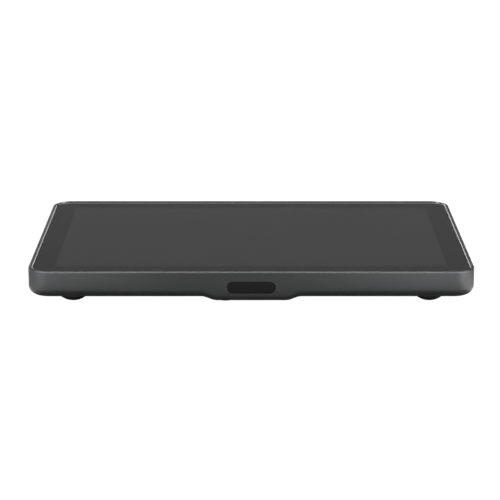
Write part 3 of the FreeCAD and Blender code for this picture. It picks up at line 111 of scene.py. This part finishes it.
class Shader:
    """One principled material, with helpers for the nodes that feed it.

    Names of sockets are given with underscores for their spaces.
    """

    def __init__(self, name, **values):
        self.material = bpy.data.materials.new(name)
        self.material.use_nodes = True
        self.tree = self.material.node_tree
        self.shader = self.tree.nodes["Principled BSDF"]
        for key, value in values.items():
            socket = self.shader.inputs[key.replace("_", " ")]
            if hasattr(value, "__len__") and len(value) == 3:
                value = (*value, 1.0)
            socket.default_value = value

    def node(self, kind, settings=(), **inputs):
        """A new node, with its inputs set to values or linked to sockets."""
        made = self.tree.nodes.new(kind)
        for key, value in dict(settings).items():
            setattr(made, key, value)
        for key, value in inputs.items():
            socket = made.inputs[key.replace("_", " ")]
            if isinstance(value, bpy.types.NodeSocket):
                self.tree.links.new(value, socket)
            else:
                socket.default_value = value
        return made

    def link(self, source, target):
        """Feeds a socket of the principled shader."""
        self.tree.links.new(source, self.shader.inputs[target.replace("_", " ")])

    def place(self):
        """Where a point lies on its own object."""
        return self.node("ShaderNodeTexCoord").outputs["Object"]

    def noise(self, scale, detail=3.0, roughness=0.55):
        place = self.place()
        made = self.node(
            "ShaderNodeTexNoise", Vector=place, Scale=scale, Detail=detail, Roughness=roughness
        )
        return made.outputs["Fac"]

    def remap(self, value, low, high, start=0.3, end=0.7):
        """A value stretched from start..end, where most noise lies, to low..high."""
        made = self.node(
            "ShaderNodeMapRange", Value=value, From_Min=start, From_Max=end, To_Min=low, To_Max=high
        )
        return made.outputs["Result"]

    def mix(self, factor, first, second):
        """A colour between two, by a factor."""
        made = self.node("ShaderNodeMix", {"data_type": "RGBA"})
        self.tree.links.new(factor, made.inputs[0])
        made.inputs[6].default_value = (*first, 1.0)
        made.inputs[7].default_value = (*second, 1.0)
        return made.outputs[2]

    def arithmetic(self, first, second, operation):
        """The result of one arithmetic step on two values or sockets."""
        made = self.node("ShaderNodeMath", {"operation": operation})
        for socket, value in zip(made.inputs, (first, second)):
            if isinstance(value, bpy.types.NodeSocket):
                self.tree.links.new(value, socket)
            else:
                socket.default_value = value
        return made.outputs[0]

    def bump(self, height, distance):
        """Fine relief, with its depth in metres."""
        made = self.node("ShaderNodeBump", Height=height, Distance=distance, Strength=1.0)
        self.link(made.outputs["Normal"], "Normal")


def shade_pair(colour, spread):
    """A darker and a lighter shade on either side of a colour."""
    return [c * (1 - spread) for c in colour], [c * (1 + spread) for c in colour]


def textured(name, colour, rough, grain, depth, spread=0.1, rough_spread=0.08, metallic=0.0, **more):
    """A finish with fine grain, faint colour drift and uneven gloss."""
    made = Shader(name, Metallic=metallic, **more)
    broad = made.noise(45.0, 4.0)
    fine = made.noise(grain, 2.0, 0.6)
    made.link(made.mix(made.remap(broad, 0.0, 1.0), *shade_pair(colour, spread)), "Base_Color")
    made.link(made.remap(fine, rough - rough_spread, rough + rough_spread), "Roughness")
    made.bump(fine, depth)
    return made.material


ANODISED = textured(
    "anodised_body", (0.037, 0.0375, 0.0382), 0.37, 5200.0, 0.00002, 0.03, 0.05,
    metallic=1.0, Specular_Tint=(0.72, 0.72, 0.72),
)
# A brighter, glossier copy of the anodised finish that paints light on edges: a painted highlight on
# the front outer edge and in the sensor opening's mouth, and painted shade on the rear of the cut
# beside the glass.
PAINTED_LIGHT_EDGE = textured(
    "anodised_painted_light_edge", (0.16, 0.161, 0.163), 0.20, 5200.0, 0.00001, 0.03, 0.05, metallic=1.0
)
BRIGHT_CUT = textured(
    "bright_cut_edge", (0.22, 0.222, 0.226), 0.16, 9000.0, 0.000004, 0.04, 0.05, metallic=1.0
)


def glass_finish(name, colour, spread):
    """Glossy glass with a faint haze over what lies under it."""
    made = Shader(name, Roughness=0.045, IOR=1.5)
    haze = made.noise(22.0, 5.0, 0.6)
    made.link(made.mix(made.remap(haze, 0.0, 1.0), *shade_pair(colour, spread)), "Base_Color")
    made.link(made.remap(haze, 0.035, 0.065), "Roughness")
    return made.material


INK_GLASS = glass_finish("glass_over_ink", (0.008, 0.008, 0.0085), 0.06)
SCREEN_GLASS = glass_finish("glass_over_screen", (0.018, 0.018, 0.0185), 0.04)
WINDOW_BLACK = textured(
    "window_black", (0.003, 0.003, 0.0032), 0.12, 3000.0, 0.000002, 0.1, 0.02,
    Specular_IOR_Level=0.11,
)
RUBBER = textured(
    "foot_rubber", (0.024, 0.024, 0.025), 0.62, 4200.0, 0.00004, 0.15, 0.08, Specular_IOR_Level=0.4
)
BASE_PLASTIC = textured("base_plastic", (0.045, 0.046, 0.048), 0.50, 3600.0, 0.00004, 0.06, 0.07)
BLACK_PLASTIC = textured("black_plastic", (0.022, 0.022, 0.024), 0.42, 3800.0, 0.00002, 0.08, 0.08)


# ---------------------------------------------------------------- mesh helpers


SHARP_ANGLE = 28.0


def piece(name, mesh, materials, replaced):
    """Adds a mesh in the row frame as a shown piece that rides on the body and replaces nodes."""
    for material in materials:
        mesh.materials.append(material)
    made = bpy.data.objects.new(name, mesh)
    bpy.context.scene.collection.objects.link(made)
    smooth(made)
    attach(made, "body")
    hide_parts(*replaced)
    return made


def smooth(obj):
    """Smooth shading that keeps sharp edges sharp and flat faces flat."""
    mesh = obj.data
    for polygon in mesh.polygons:
        polygon.use_smooth = True
    mesh.set_sharp_from_angle(angle=math.radians(SHARP_ANGLE))
    modifier = obj.modifiers.new("even_normals", "WEIGHTED_NORMAL")
    modifier.keep_sharp = True


def mesh_from(name, points, faces, marks):
    """A mesh from millimetre points in the body's frame, with faces turned outwards.

    Marks say which of the piece's materials each face takes.
    """
    mesh = bpy.data.meshes.new(name)
    mesh.from_pydata([SLAB @ Vector(p) for p in points], [], faces)
    for polygon, mark in zip(mesh.polygons, marks):
        polygon.material_index = mark
    work = bmesh.new()
    work.from_mesh(mesh)
    bmesh.ops.recalc_face_normals(work, faces=work.faces)
    work.to_mesh(mesh)
    work.free()
    mesh.validate()
    return mesh


def ease(t):
    """A smooth step from 0 to 1."""
    t = min(max(t, 0.0), 1.0)
    return t * t * (3 - 2 * t)


def arc(centre, radius, start, end, steps):
    """Points on an arc, from one angle to another, in degrees."""
    angles = [math.radians(start + (end - start) * i / steps) for i in range(steps + 1)]
    return [(centre[0] + radius * math.cos(a), centre[1] + radius * math.sin(a)) for a in angles]


def spaced(start, end, step):
    """Even places from a start up to, but not at, an end."""
    count = max(1, round(abs(end - start) / step))
    return [start + (end - start) * i / count for i in range(count)]


def outline(inset, corner_steps=14, straight_step=9.0, fine=34.0, fine_step=1.0):
    """Points round the flat body's outline, moved in by an inset and dense near its middle."""
    radius = max(CORNER - inset, 0.6)
    half, front, back = BODY_WIDTH / 2 - inset, inset, BODY_DEPTH - inset
    reach = BODY_WIDTH / 2 - CORNER
    squeeze = (half - radius) / reach
    run = spaced(-reach, -fine, straight_step) + spaced(-fine, fine, fine_step)
    run += spaced(fine, reach, straight_step)
    points = [(x * squeeze, front) for x in run]
    points += arc((half - radius, front + radius), radius, -90, 0, corner_steps)
    count = round((BODY_DEPTH - 2 * CORNER) / straight_step)
    side = [front + radius + (back - front - 2 * radius) * i / count for i in range(1, count)]
    points += [(half, y) for y in side]
    points += arc((half - radius, back - radius), radius, 0, 90, corner_steps)
    points += [(-x * squeeze, back) for x in run[1:]]
    points += arc((-half + radius, back - radius), radius, 90, 180, corner_steps)
    points += [(-half, y) for y in reversed(side)]
    points += arc((-half + radius, front + radius), radius, 180, 270, corner_steps)[:-1]
    return points


def bridge(rings, faces, marks, mark_of=lambda i, j: 0):
    """Quads between successive rings of equal length, given as lists of point numbers."""
    for i, (low, high) in enumerate(zip(rings, rings[1:])):
        for j in range(len(low)):
            k = (j + 1) % len(low)
            faces.append((low[j], low[k], high[k], high[j]))
            marks.append(mark_of(i, j))


# ---------------------------------------------------------------- flat body


def belly_sections():
    """The front edge's lower profile as (depth, level) points: plain, and where the chin is full."""
    plain = [(0.0, WALL_MIDDLE), (0.0, PLAIN_TURN)]
    plain += arc((BELLY, BELLY), BELLY, 180, 270, BELLY_STEPS)
    full = [(0.0, WALL_MIDDLE), (0.0, CHIN_TURN)]
    full += arc((CHIN_RADIUS, CHIN_RADIUS - CHIN_DROP), CHIN_RADIUS, 180, 270, BELLY_STEPS)
    for t in (0.25, 0.5, 0.75, 1.0):
        plain.append((BELLY + (CHIN_FLAT - BELLY) * t, 0.0))
        full.append((CHIN_RADIUS + (CHIN_FLAT - CHIN_RADIUS) * t, -CHIN_DROP))
    for t in (0.15, 0.3, 0.45, 0.6, 0.75, 0.9, 1.0):
        depth = CHIN_FLAT + (CHIN_DEPTH - CHIN_FLAT) * t
        plain.append((depth, 0.0))
        full.append((depth, -CHIN_DROP * (1 - ease(t))))
    return plain, full


def chin_share(x):
    """How much of the chin there is at a place across the front: all in the middle, none outside."""
    return 1 - ease((abs(x) - CHIN_HALF) / CHIN_BLEND)


def rim_section():
    """The wall's upper outside, the rim, the cut beside the glass and the ledge, as a profile."""
    section = [(0.0, BODY_THICK - RIM_WALL)]
    section += arc((RIM_ROUND, BODY_THICK - RIM_ROUND), RIM_ROUND, 180, 90, ROUND_STEPS)
    section += [(OPENING - BRIGHT_WIDTH, BODY_THICK), (OPENING, BODY_THICK - BRIGHT_WIDTH)]
    return section + [(OPENING, SEAT_LEVEL), (WALL, SEAT_LEVEL), (WALL, FLOOR)]


def chin_point(x, low, full):
    """A point of the front edge's lower part, between its plain and its chin section."""
    share = chin_share(x)
    depth = low[0] * (1 - share) + full[0] * share
    return x, depth, low[1] * (1 - share) + full[1] * share


def build_body():
    """The housing: its wall, chin, rim and ledge from one profile carried round the outline."""
    plain, full = belly_sections()
    profile = list(reversed(plain)) + rim_section()
    points, rings = [], []
    for index, (inset, level) in enumerate(profile):
        lower = len(plain) - 1 - index
        shape = outline(inset)
        rings.append(list(range(len(points), len(points) + len(shape))))
        for x, y in shape:
            in_front = y <= inset + TOLERANCE and abs(x) < CHIN_HALF + CHIN_BLEND
            if lower >= 0 and in_front:
                points.append(chin_point(x, plain[lower], full[lower]))
            else:
                points.append((x, y, level))
    faces, marks = [], []
    land = len(plain) + 1 + ROUND_STEPS

    def finish_of(ring, place):
        """The bright cut beside the glass, dimmed at the rear as painted shade, the painted highlight
        on the front of the outer edge, or the plain finish.
        """
        depth = points[rings[ring][place]][1]
        if ring == land + 1:
            # Painted shade: the rear of the cut beside the glass takes the dimmer edge finish instead
            # of the bright cut.
            return BRIGHT if depth < BODY_DEPTH - REAR_PAINTED_SHADE else PAINTED_LIGHT
        # Painted highlight: the front of the rounded outer edge takes the brighter edge finish.
        rounded = land - ROUND_STEPS <= ring < land - 2
        return PAINTED_LIGHT if rounded and depth < FRONT_PAINTED_HIGHLIGHT else PLAIN

    bridge(rings, faces, marks, finish_of)
    faces += [tuple(rings[0]), tuple(reversed(rings[-1]))]
    marks += [PLAIN, PLAIN]
    mesh = mesh_from("body_shell", points, faces, marks)
    made = piece("body_shell", mesh, [ANODISED, BRIGHT_CUT, PAINTED_LIGHT_EDGE], ["housing"])
    cut_window(made)


def pill(length, height, level, steps=20):
    """Points round an upright pill shape as (x, level) pairs."""
    radius = height / 2
    half = length / 2 - radius
    return arc((half, level), radius, -90, 90, steps) + arc((-half, level), radius, 90, 270, steps)


def pill_stack(name, layers):
    """A closed mesh through pill outlines given as (depth, growth) pairs, with flat ends."""
    points, rings, faces, marks = [], [], [], []
    for depth, growth in layers:
        shape = pill(WINDOW_LENGTH + 2 * growth, WINDOW_HEIGHT + 2 * growth, WINDOW_LEVEL)
        rings.append(list(range(len(points), len(points) + len(shape))))
        points += [(x, depth, level) for x, level in shape]
    bridge(rings, faces, marks)
    faces += [tuple(rings[0]), tuple(reversed(rings[-1]))]
    marks += [PLAIN, PLAIN]
    return mesh_from(name, points, faces, marks)


def cut_window(body):
    """Cuts the sensor opening through the front wall, with a fine bevel inside its mouth."""
    outside, beyond = -1.0, WALL + 1
    layers = [(outside, -outside), (MOUTH_BEVEL, -MOUTH_BEVEL), (beyond, -MOUTH_BEVEL)]
    cutter = bpy.data.objects.new("cutter", pill_stack("cutter", layers))
    bpy.context.scene.collection.objects.link(cutter)
    modifier = body.modifiers.new("window", "BOOLEAN")
    modifier.operation = "DIFFERENCE"
    modifier.solver = "EXACT"
    modifier.object = cutter
    body.modifiers.move(body.modifiers.find("window"), 0)
    even = body.modifiers["even_normals"]
    even.show_viewport = False
    graph = bpy.context.evaluated_depsgraph_get()
    graph.update()
    body.data = bpy.data.meshes.new_from_object(body.evaluated_get(graph))
    body.modifiers.remove(body.modifiers["window"])
    even.show_viewport = True
    body.data.set_sharp_from_angle(angle=math.radians(SHARP_ANGLE))
    bpy.data.objects.remove(cutter)
    mark_mouth(body.data)


def mark_mouth(mesh):
    """Gives the bevel in the sensor opening's mouth the brighter edge finish, as a painted highlight
    round the opening.
    """
    to_slab = SLAB.inverted()
    margin = 0.1
    for polygon in mesh.polygons:
        place = to_slab @ polygon.center
        beside = abs(place.x) < WINDOW_LENGTH / 2 + margin
        level_with = abs(place.z - WINDOW_LEVEL) < WINDOW_HEIGHT / 2 + margin
        if beside and level_with and 0.001 < place.y < MOUTH_BEVEL - 0.001:
            polygon.material_index = PAINTED_LIGHT


def build_glass():
    """The cover glass: printed border, screen area and a polished edge."""
    high = GLASS_LOW + GLASS_THICK
    edge = OPENING + GLASS_GAP
    profile = [(edge, GLASS_LOW), (edge, high - GLASS_EDGE)]
    profile += arc((edge + GLASS_EDGE, high - GLASS_EDGE), GLASS_EDGE, 180, 90, 5)[1:]
    points, rings, faces, marks = [], [], [], []
    for inset, level in profile:
        shape = outline(inset, fine=9.0, fine_step=9.0)
        rings.append(list(range(len(points), len(points) + len(shape))))
        points += [(x, y, level) for x, y in shape]
    bridge(rings, faces, marks)
    faces.append(tuple(reversed(rings[0])))
    half, front, back = SCREEN_WIDTH / 2, SCREEN_FRONT, SCREEN_FRONT + SCREEN_DEPTH
    top = rings[-1]
    corners = [(-half, front), (half, front), (half, back), (-half, back)]
    nearest = [nearest_on_edge(x, y, top, points) for x, y in corners]
    first = len(points)
    points += [(x, y, high) for x, y in corners]
    for i in range(4):
        start, end = nearest[i], nearest[(i + 1) % 4]
        last = end if end > start else end + len(top)
        run = [top[j % len(top)] for j in range(start, last + 1)]
        faces.append(tuple(run + [first + (i + 1) % 4, first + i]))
    marks += [0] * (len(faces) - len(marks))
    faces.append(tuple(range(first, first + 4)))
    marks.append(1)
    mesh = mesh_from("glass_top", points, faces, marks)
    piece("glass_top", mesh, [INK_GLASS, SCREEN_GLASS], ["cover_glass"])


def nearest_on_edge(x, y, ring, points):
    """Where in a ring the point lies from which a face's cut runs to a corner of the screen."""
    beside = math.copysign(BODY_WIDTH / 2 - CORNER + 4, x)
    end = 0 if y < BODY_DEPTH / 2 else BODY_DEPTH
    far = [abs(points[i][0] - beside) + abs(points[i][1] - end) for i in ring]
    return far.index(min(far))


def build_window():
    """The oval window, set back in its opening, with a rounded edge and a flange behind the wall."""
    fit = -MOUTH_BEVEL - 0.05
    layers = [(WINDOW_RECESS, fit - 0.35), (WINDOW_RECESS + 0.03, fit - 0.15)]
    flange = FLANGE_START + HAIRLINE
    layers += [(WINDOW_RECESS + 0.15, fit), (flange, fit)]
    layers += [(flange, FLANGE_MARGIN), (FLANGE_BACK, FLANGE_MARGIN)]
    mesh = pill_stack("window_lens", layers)
    piece("window_lens", mesh, [WINDOW_BLACK], ["sensor_window"])


def lathe(name, profile, centre, steps):
    """A turned solid from (radius, level) points, closed at both ends."""
    points, rings, faces, marks = [], [], [], []
    for radius, level in profile:
        rings.append(list(range(len(points), len(points) + steps)))
        for i in range(steps):
            a = 2 * math.pi * i / steps
            points.append((centre[0] + radius * math.cos(a), centre[1] + radius * math.sin(a), level))
    bridge(rings, faces, marks)
    faces += [tuple(reversed(rings[0])), tuple(rings[-1])]
    marks += [PLAIN, PLAIN]
    return mesh_from(name, points, faces, marks)


def build_front_feet():
    """Two domed feet whose balls just touch the table."""
    centre = (FOOT_BALL - underside_lift() - FOOT_BACK * math.sin(TILT)) / math.cos(TILT)
    tip, steps, shoulder = 0.15, 18, 0.25
    limit = math.asin((FOOT_SKIRT - tip) / FOOT_BALL)
    profile = [(tip, centre - FOOT_BALL)]
    for i in range(1, steps + 1):
        a = limit * i / steps
        profile.append((FOOT_BALL * math.sin(a), centre - FOOT_BALL * math.cos(a)))
    profile += [(FOOT_SKIRT, profile[-1][1] + shoulder), (FOOT_SKIRT, -HAIRLINE)]
    profile.append((FOOT_SKIRT, FOOT_SUNK))
    for side, node in ((-1, "front_foot_left"), (1, "front_foot_right")):
        mesh = lathe(node + "_dome", profile, (side * FOOT_SPREAD, FOOT_BACK), 56)
        piece(node + "_dome", mesh, [RUBBER], [node])


def build_plug():
    """The flat button under the chin, with a shallow dish in its middle and a stem in its hole."""
    under = -CHIN_DROP
    low = under - PLUG_PROUD
    profile = [(0.2, low + 0.12), (1.0, low + 0.1), (1.25, low)]
    profile += arc((PLUG_RADIUS - PLUG_EDGE, low + PLUG_EDGE), PLUG_EDGE, -90, 0, 5)
    profile += [(PLUG_RADIUS, under - HAIRLINE), (PLUG_STEM, under - HAIRLINE), (PLUG_STEM, 1.5)]
    mesh = lathe("plug_button", profile, PLUG_PLACE, 48)
    piece("plug_button", mesh, [RUBBER], ["chin_plug"])


# ---------------------------------------------------------------- carried-over CAD nodes


STEEL = textured("plated_steel", (0.50, 0.49, 0.47), 0.30, 2600.0, 0.000006, 0.08, 0.08, metallic=1.0)
BRASS = textured("insert_brass", (0.60, 0.43, 0.17), 0.32, 2600.0, 0.00001, 0.1, 0.08, metallic=1.0)
NICKEL = textured("magnet_nickel", (0.66, 0.65, 0.62), 0.18, 2600.0, 0.000004, 0.05, 0.05, metallic=1.0)
ALUMINIUM = textured(
    "bare_aluminium", (0.60, 0.61, 0.62), 0.36, 1800.0, 0.00001, 0.06, 0.06, metallic=1.0
)
BOARD = textured("circuit_board", (0.012, 0.075, 0.032), 0.34, 1400.0, 0.00002, 0.25, 0.08)
CHIP = textured("chip_black", (0.025, 0.025, 0.027), 0.52, 3000.0, 0.00001, 0.08, 0.06)
CREAM = textured("connector_cream", (0.58, 0.53, 0.42), 0.45, 2400.0, 0.00001, 0.06, 0.06)
AMBER = textured("flex_amber", (0.40, 0.16, 0.03), 0.28, 1200.0, 0.00001, 0.15, 0.06)
THERMAL = textured("thermal_grey", (0.33, 0.35, 0.40), 0.75, 2000.0, 0.00003, 0.08, 0.06)
TAPE = textured("adhesive_tape", (0.015, 0.015, 0.015), 0.80, 2600.0, 0.00003, 0.1, 0.06)
ACRYLIC = textured("light_acrylic", (0.82, 0.85, 0.88), 0.20, 900.0, 0.000004, 0.03, 0.05)
PANEL = textured("panel_glass", (0.02, 0.02, 0.024), 0.12, 900.0, 0.000002, 0.05, 0.03)

FINISHES = {
    "anodised_body": ANODISED,
    "screen_glass": INK_GLASS,
    "adhesive_tape": TAPE,
    "panel_glass": PANEL,
    "light_acrylic": ACRYLIC,
    "bare_aluminium": ALUMINIUM,
    "plated_steel": STEEL,
    "circuit_board": BOARD,
    "chip_black": CHIP,
    "connector_cream": CREAM,
    "flex_amber": AMBER,
    "thermal_grey": THERMAL,
    "window_black": WINDOW_BLACK,
    "black_plastic": BLACK_PLASTIC,
    "base_plastic": BASE_PLASTIC,
    "foot_rubber": RUBBER,
    "insert_brass": BRASS,
    "magnet_nickel": NICKEL,
}


def finish_nodes():
    """Gives every CAD node the finish that the record names for it."""
    for entry in frame["record"]["subparts"]:
        node = frame["nodes"][entry["node"]]
        node.data.materials.clear()
        node.data.materials.append(FINISHES[entry["material_slot"]])
        smooth(node)


# ---------------------------------------------------------------- studio and camera


# The air's even light, how bright the paper looks to the camera, and how much of that look it has.
AIR_GLOW, PAPER_GLOW, PAPER_SHARE = 0.17, 1.06, 0.93

# Pools of light painted on the paper as glow, with no card or lamp behind them, for the body's metal to
# reflect: strength, then the (start, full) pairs in metres across and along the table between which
# each comes in and goes out.
AHEAD = ((-0.34, -0.26), (-0.086, -0.103))
PAINTED_LIGHT_POOLS = (
    (1.70, ((-0.035, -0.135), (-0.34, -0.26)), AHEAD),
    (1.85, ((0.005, 0.120), (0.34, 0.26)), AHEAD),
    (0.30, ((-0.34, -0.26), (0.34, 0.26)), AHEAD),
    (0.32, ((-0.20, -0.12), (0.20, 0.12)), ((-0.098, -0.086), (-0.064, -0.082))),
    (1.40, ((-0.118, -0.132), (-0.30, -0.20)), ((-0.14, -0.11), (-0.01, -0.06))),
    (3.80, ((0.124, 0.138), (0.30, 0.20)), ((-0.14, -0.11), (-0.01, -0.06))),
)


def glow_band(made, value, ranges):
    """A smooth factor that is one where a value is past every stated (start, full) pair."""
    factor = 1.0
    for start, full in ranges:
        low, high, ends = (start, full, (0.0, 1.0)) if start < full else (full, start, (1.0, 0.0))
        ramp = made.node(
            "ShaderNodeMapRange", {"interpolation_type": "SMOOTHSTEP"},
            Value=value, From_Min=low, From_Max=high, To_Min=ends[0], To_Max=ends[1],
        )
        factor = made.arithmetic(factor, ramp.outputs["Result"], "MULTIPLY")
    return factor


def painted_light_pools(made):
    """The pools of light painted on the paper round the object's front, all added together as glow."""
    place = made.node("ShaderNodeSeparateXYZ", Vector=made.place())
    total = 0.0
    for strength, across, along in PAINTED_LIGHT_POOLS:
        part = made.arithmetic(glow_band(made, place.outputs["X"], across), strength, "MULTIPLY")
        part = made.arithmetic(part, glow_band(made, place.outputs["Y"], along), "MULTIPLY")
        total = made.arithmetic(total, part, "ADD")
    return total


def studio_finish():
    """Paper that shows the camera an even white and lights the object as lit paper with painted pools
    of glowing light.
    """
    made = Shader("studio_paper", Roughness=0.9, Emission_Color=(1, 1, 1))
    grain = made.mix(made.remap(made.noise(6.0), 0.0, 1.0), (0.79, 0.79, 0.79), (0.81, 0.81, 0.81))
    made.link(grain, "Base_Color")
    # Painted light: the paper glows in pools where the object's metal reflects it.
    made.link(painted_light_pools(made), "Emission_Strength")
    glow = made.node("ShaderNodeEmission", Color=(1, 1, 1, 1), Strength=PAPER_GLOW)
    seen = made.node("ShaderNodeLightPath").outputs["Is Camera Ray"]
    blend = made.tree.nodes.new("ShaderNodeMixShader")
    made.tree.links.new(made.arithmetic(seen, PAPER_SHARE, "MULTIPLY"), blend.inputs[0])
    made.tree.links.new(made.shader.outputs[0], blend.inputs[1])
    made.tree.links.new(glow.outputs["Emission"], blend.inputs[2])
    made.tree.links.new(blend.outputs[0], made.tree.nodes["Material Output"].inputs["Surface"])
    return made.material


def build_studio():
    """One sheet of pale paper that lies flat and curves up far behind the object."""
    reach, back, bend, top = 6.0, 2.6, 0.7, 1.25
    profile = [(-6.0, 0.0), (-2.0, 0.0), (0.0, 0.0), (back - bend, 0.0)]
    profile += [(back - bend + y, z + bend) for y, z in arc((0, 0), bend, -90, 0, 16)[1:]]
    profile.append((back, top))
    points, faces = [], []
    for y, z in profile:
        points += [(-reach, y, z), (reach, y, z)]
    for i in range(len(profile) - 1):
        faces.append((2 * i, 2 * i + 1, 2 * i + 3, 2 * i + 2))
    mesh = bpy.data.meshes.new("studio_sheet")
    mesh.from_pydata(points, [], faces)
    for polygon in mesh.polygons:
        polygon.use_smooth = True
    mesh.materials.append(studio_finish())
    sheet = bpy.data.objects.new("studio_sheet", mesh)
    bpy.context.scene.collection.objects.link(sheet)


def softbox(name, place, target, size, power):
    """A white rectangular light that faces a target."""
    light = bpy.data.lights.new(name, "AREA")
    light.shape = "RECTANGLE"
    light.size, light.size_y = size
    light.energy = power
    made = bpy.data.objects.new(name, light)
    made.location = place
    made.rotation_euler = (Vector(target) - Vector(place)).to_track_quat("-Z", "Y").to_euler()
    bpy.context.scene.collection.objects.link(made)


def build_lights():
    """Even air, a broad light overhead, a small one behind, a strip in front and one on the paper."""
    world = bpy.data.worlds.new("studio_air")
    world.use_nodes = True
    background = world.node_tree.nodes["Background"]
    background.inputs["Color"].default_value = (1, 1, 1, 1)
    background.inputs["Strength"].default_value = AIR_GLOW
    bpy.context.scene.world = world
    softbox("overhead", (0.0, 0.2, 1.7), (0, 0.1, 0), (2.2, 0.9), 42.0)
    softbox("left_back", (-1.0, 2.2, 1.45), (-0.1, 0, 0), (0.6, 0.6), 5.0)
    softbox("brow", (0.0, -1.3, 0.95), (0, -0.08, 0.01), (2.2, 0.3), 9.0)
    softbox("backdrop_wash", (0.0, 1.3, 1.9), (0, 2.6, 0.4), (3.0, 0.4), 60.0)


LENS, SENSOR = 138.485, 36.0
CAMERA_PITCH, CAMERA_YAW = math.radians(0.95), math.radians(0.095)
LIP_DISTANCE, LIP_BELOW, LIP_RIGHT = 1.0508, 0.01205, 0.00074


def build_camera():
    """A long lens almost level with the table, aimed a little above the front lip."""
    lip = SLAB @ Vector((0, 0, BODY_THICK))
    turn = Matrix.Rotation(-CAMERA_YAW, 3, "Z") @ Matrix.Rotation(math.pi / 2 - CAMERA_PITCH, 3, "X")
    right, up, back = turn.col[0], turn.col[1], turn.col[2]
    data = bpy.data.cameras.new("view_camera")
    data.sensor_width = SENSOR
    data.lens = LENS
    data.clip_start = 0.02
    camera = bpy.data.objects.new("view_camera", data)
    place = lip + back * LIP_DISTANCE + up * LIP_BELOW - right * LIP_RIGHT
    camera.matrix_world = Matrix.Translation(place) @ turn.to_4x4()
    bpy.context.scene.collection.objects.link(camera)
    bpy.context.scene.camera = camera


finish_nodes()
build_body()
build_glass()
build_window()
build_front_feet()
build_plug()
build_studio()
build_lights()
build_camera()
bpy.context.scene.view_settings.view_transform = "Standard"
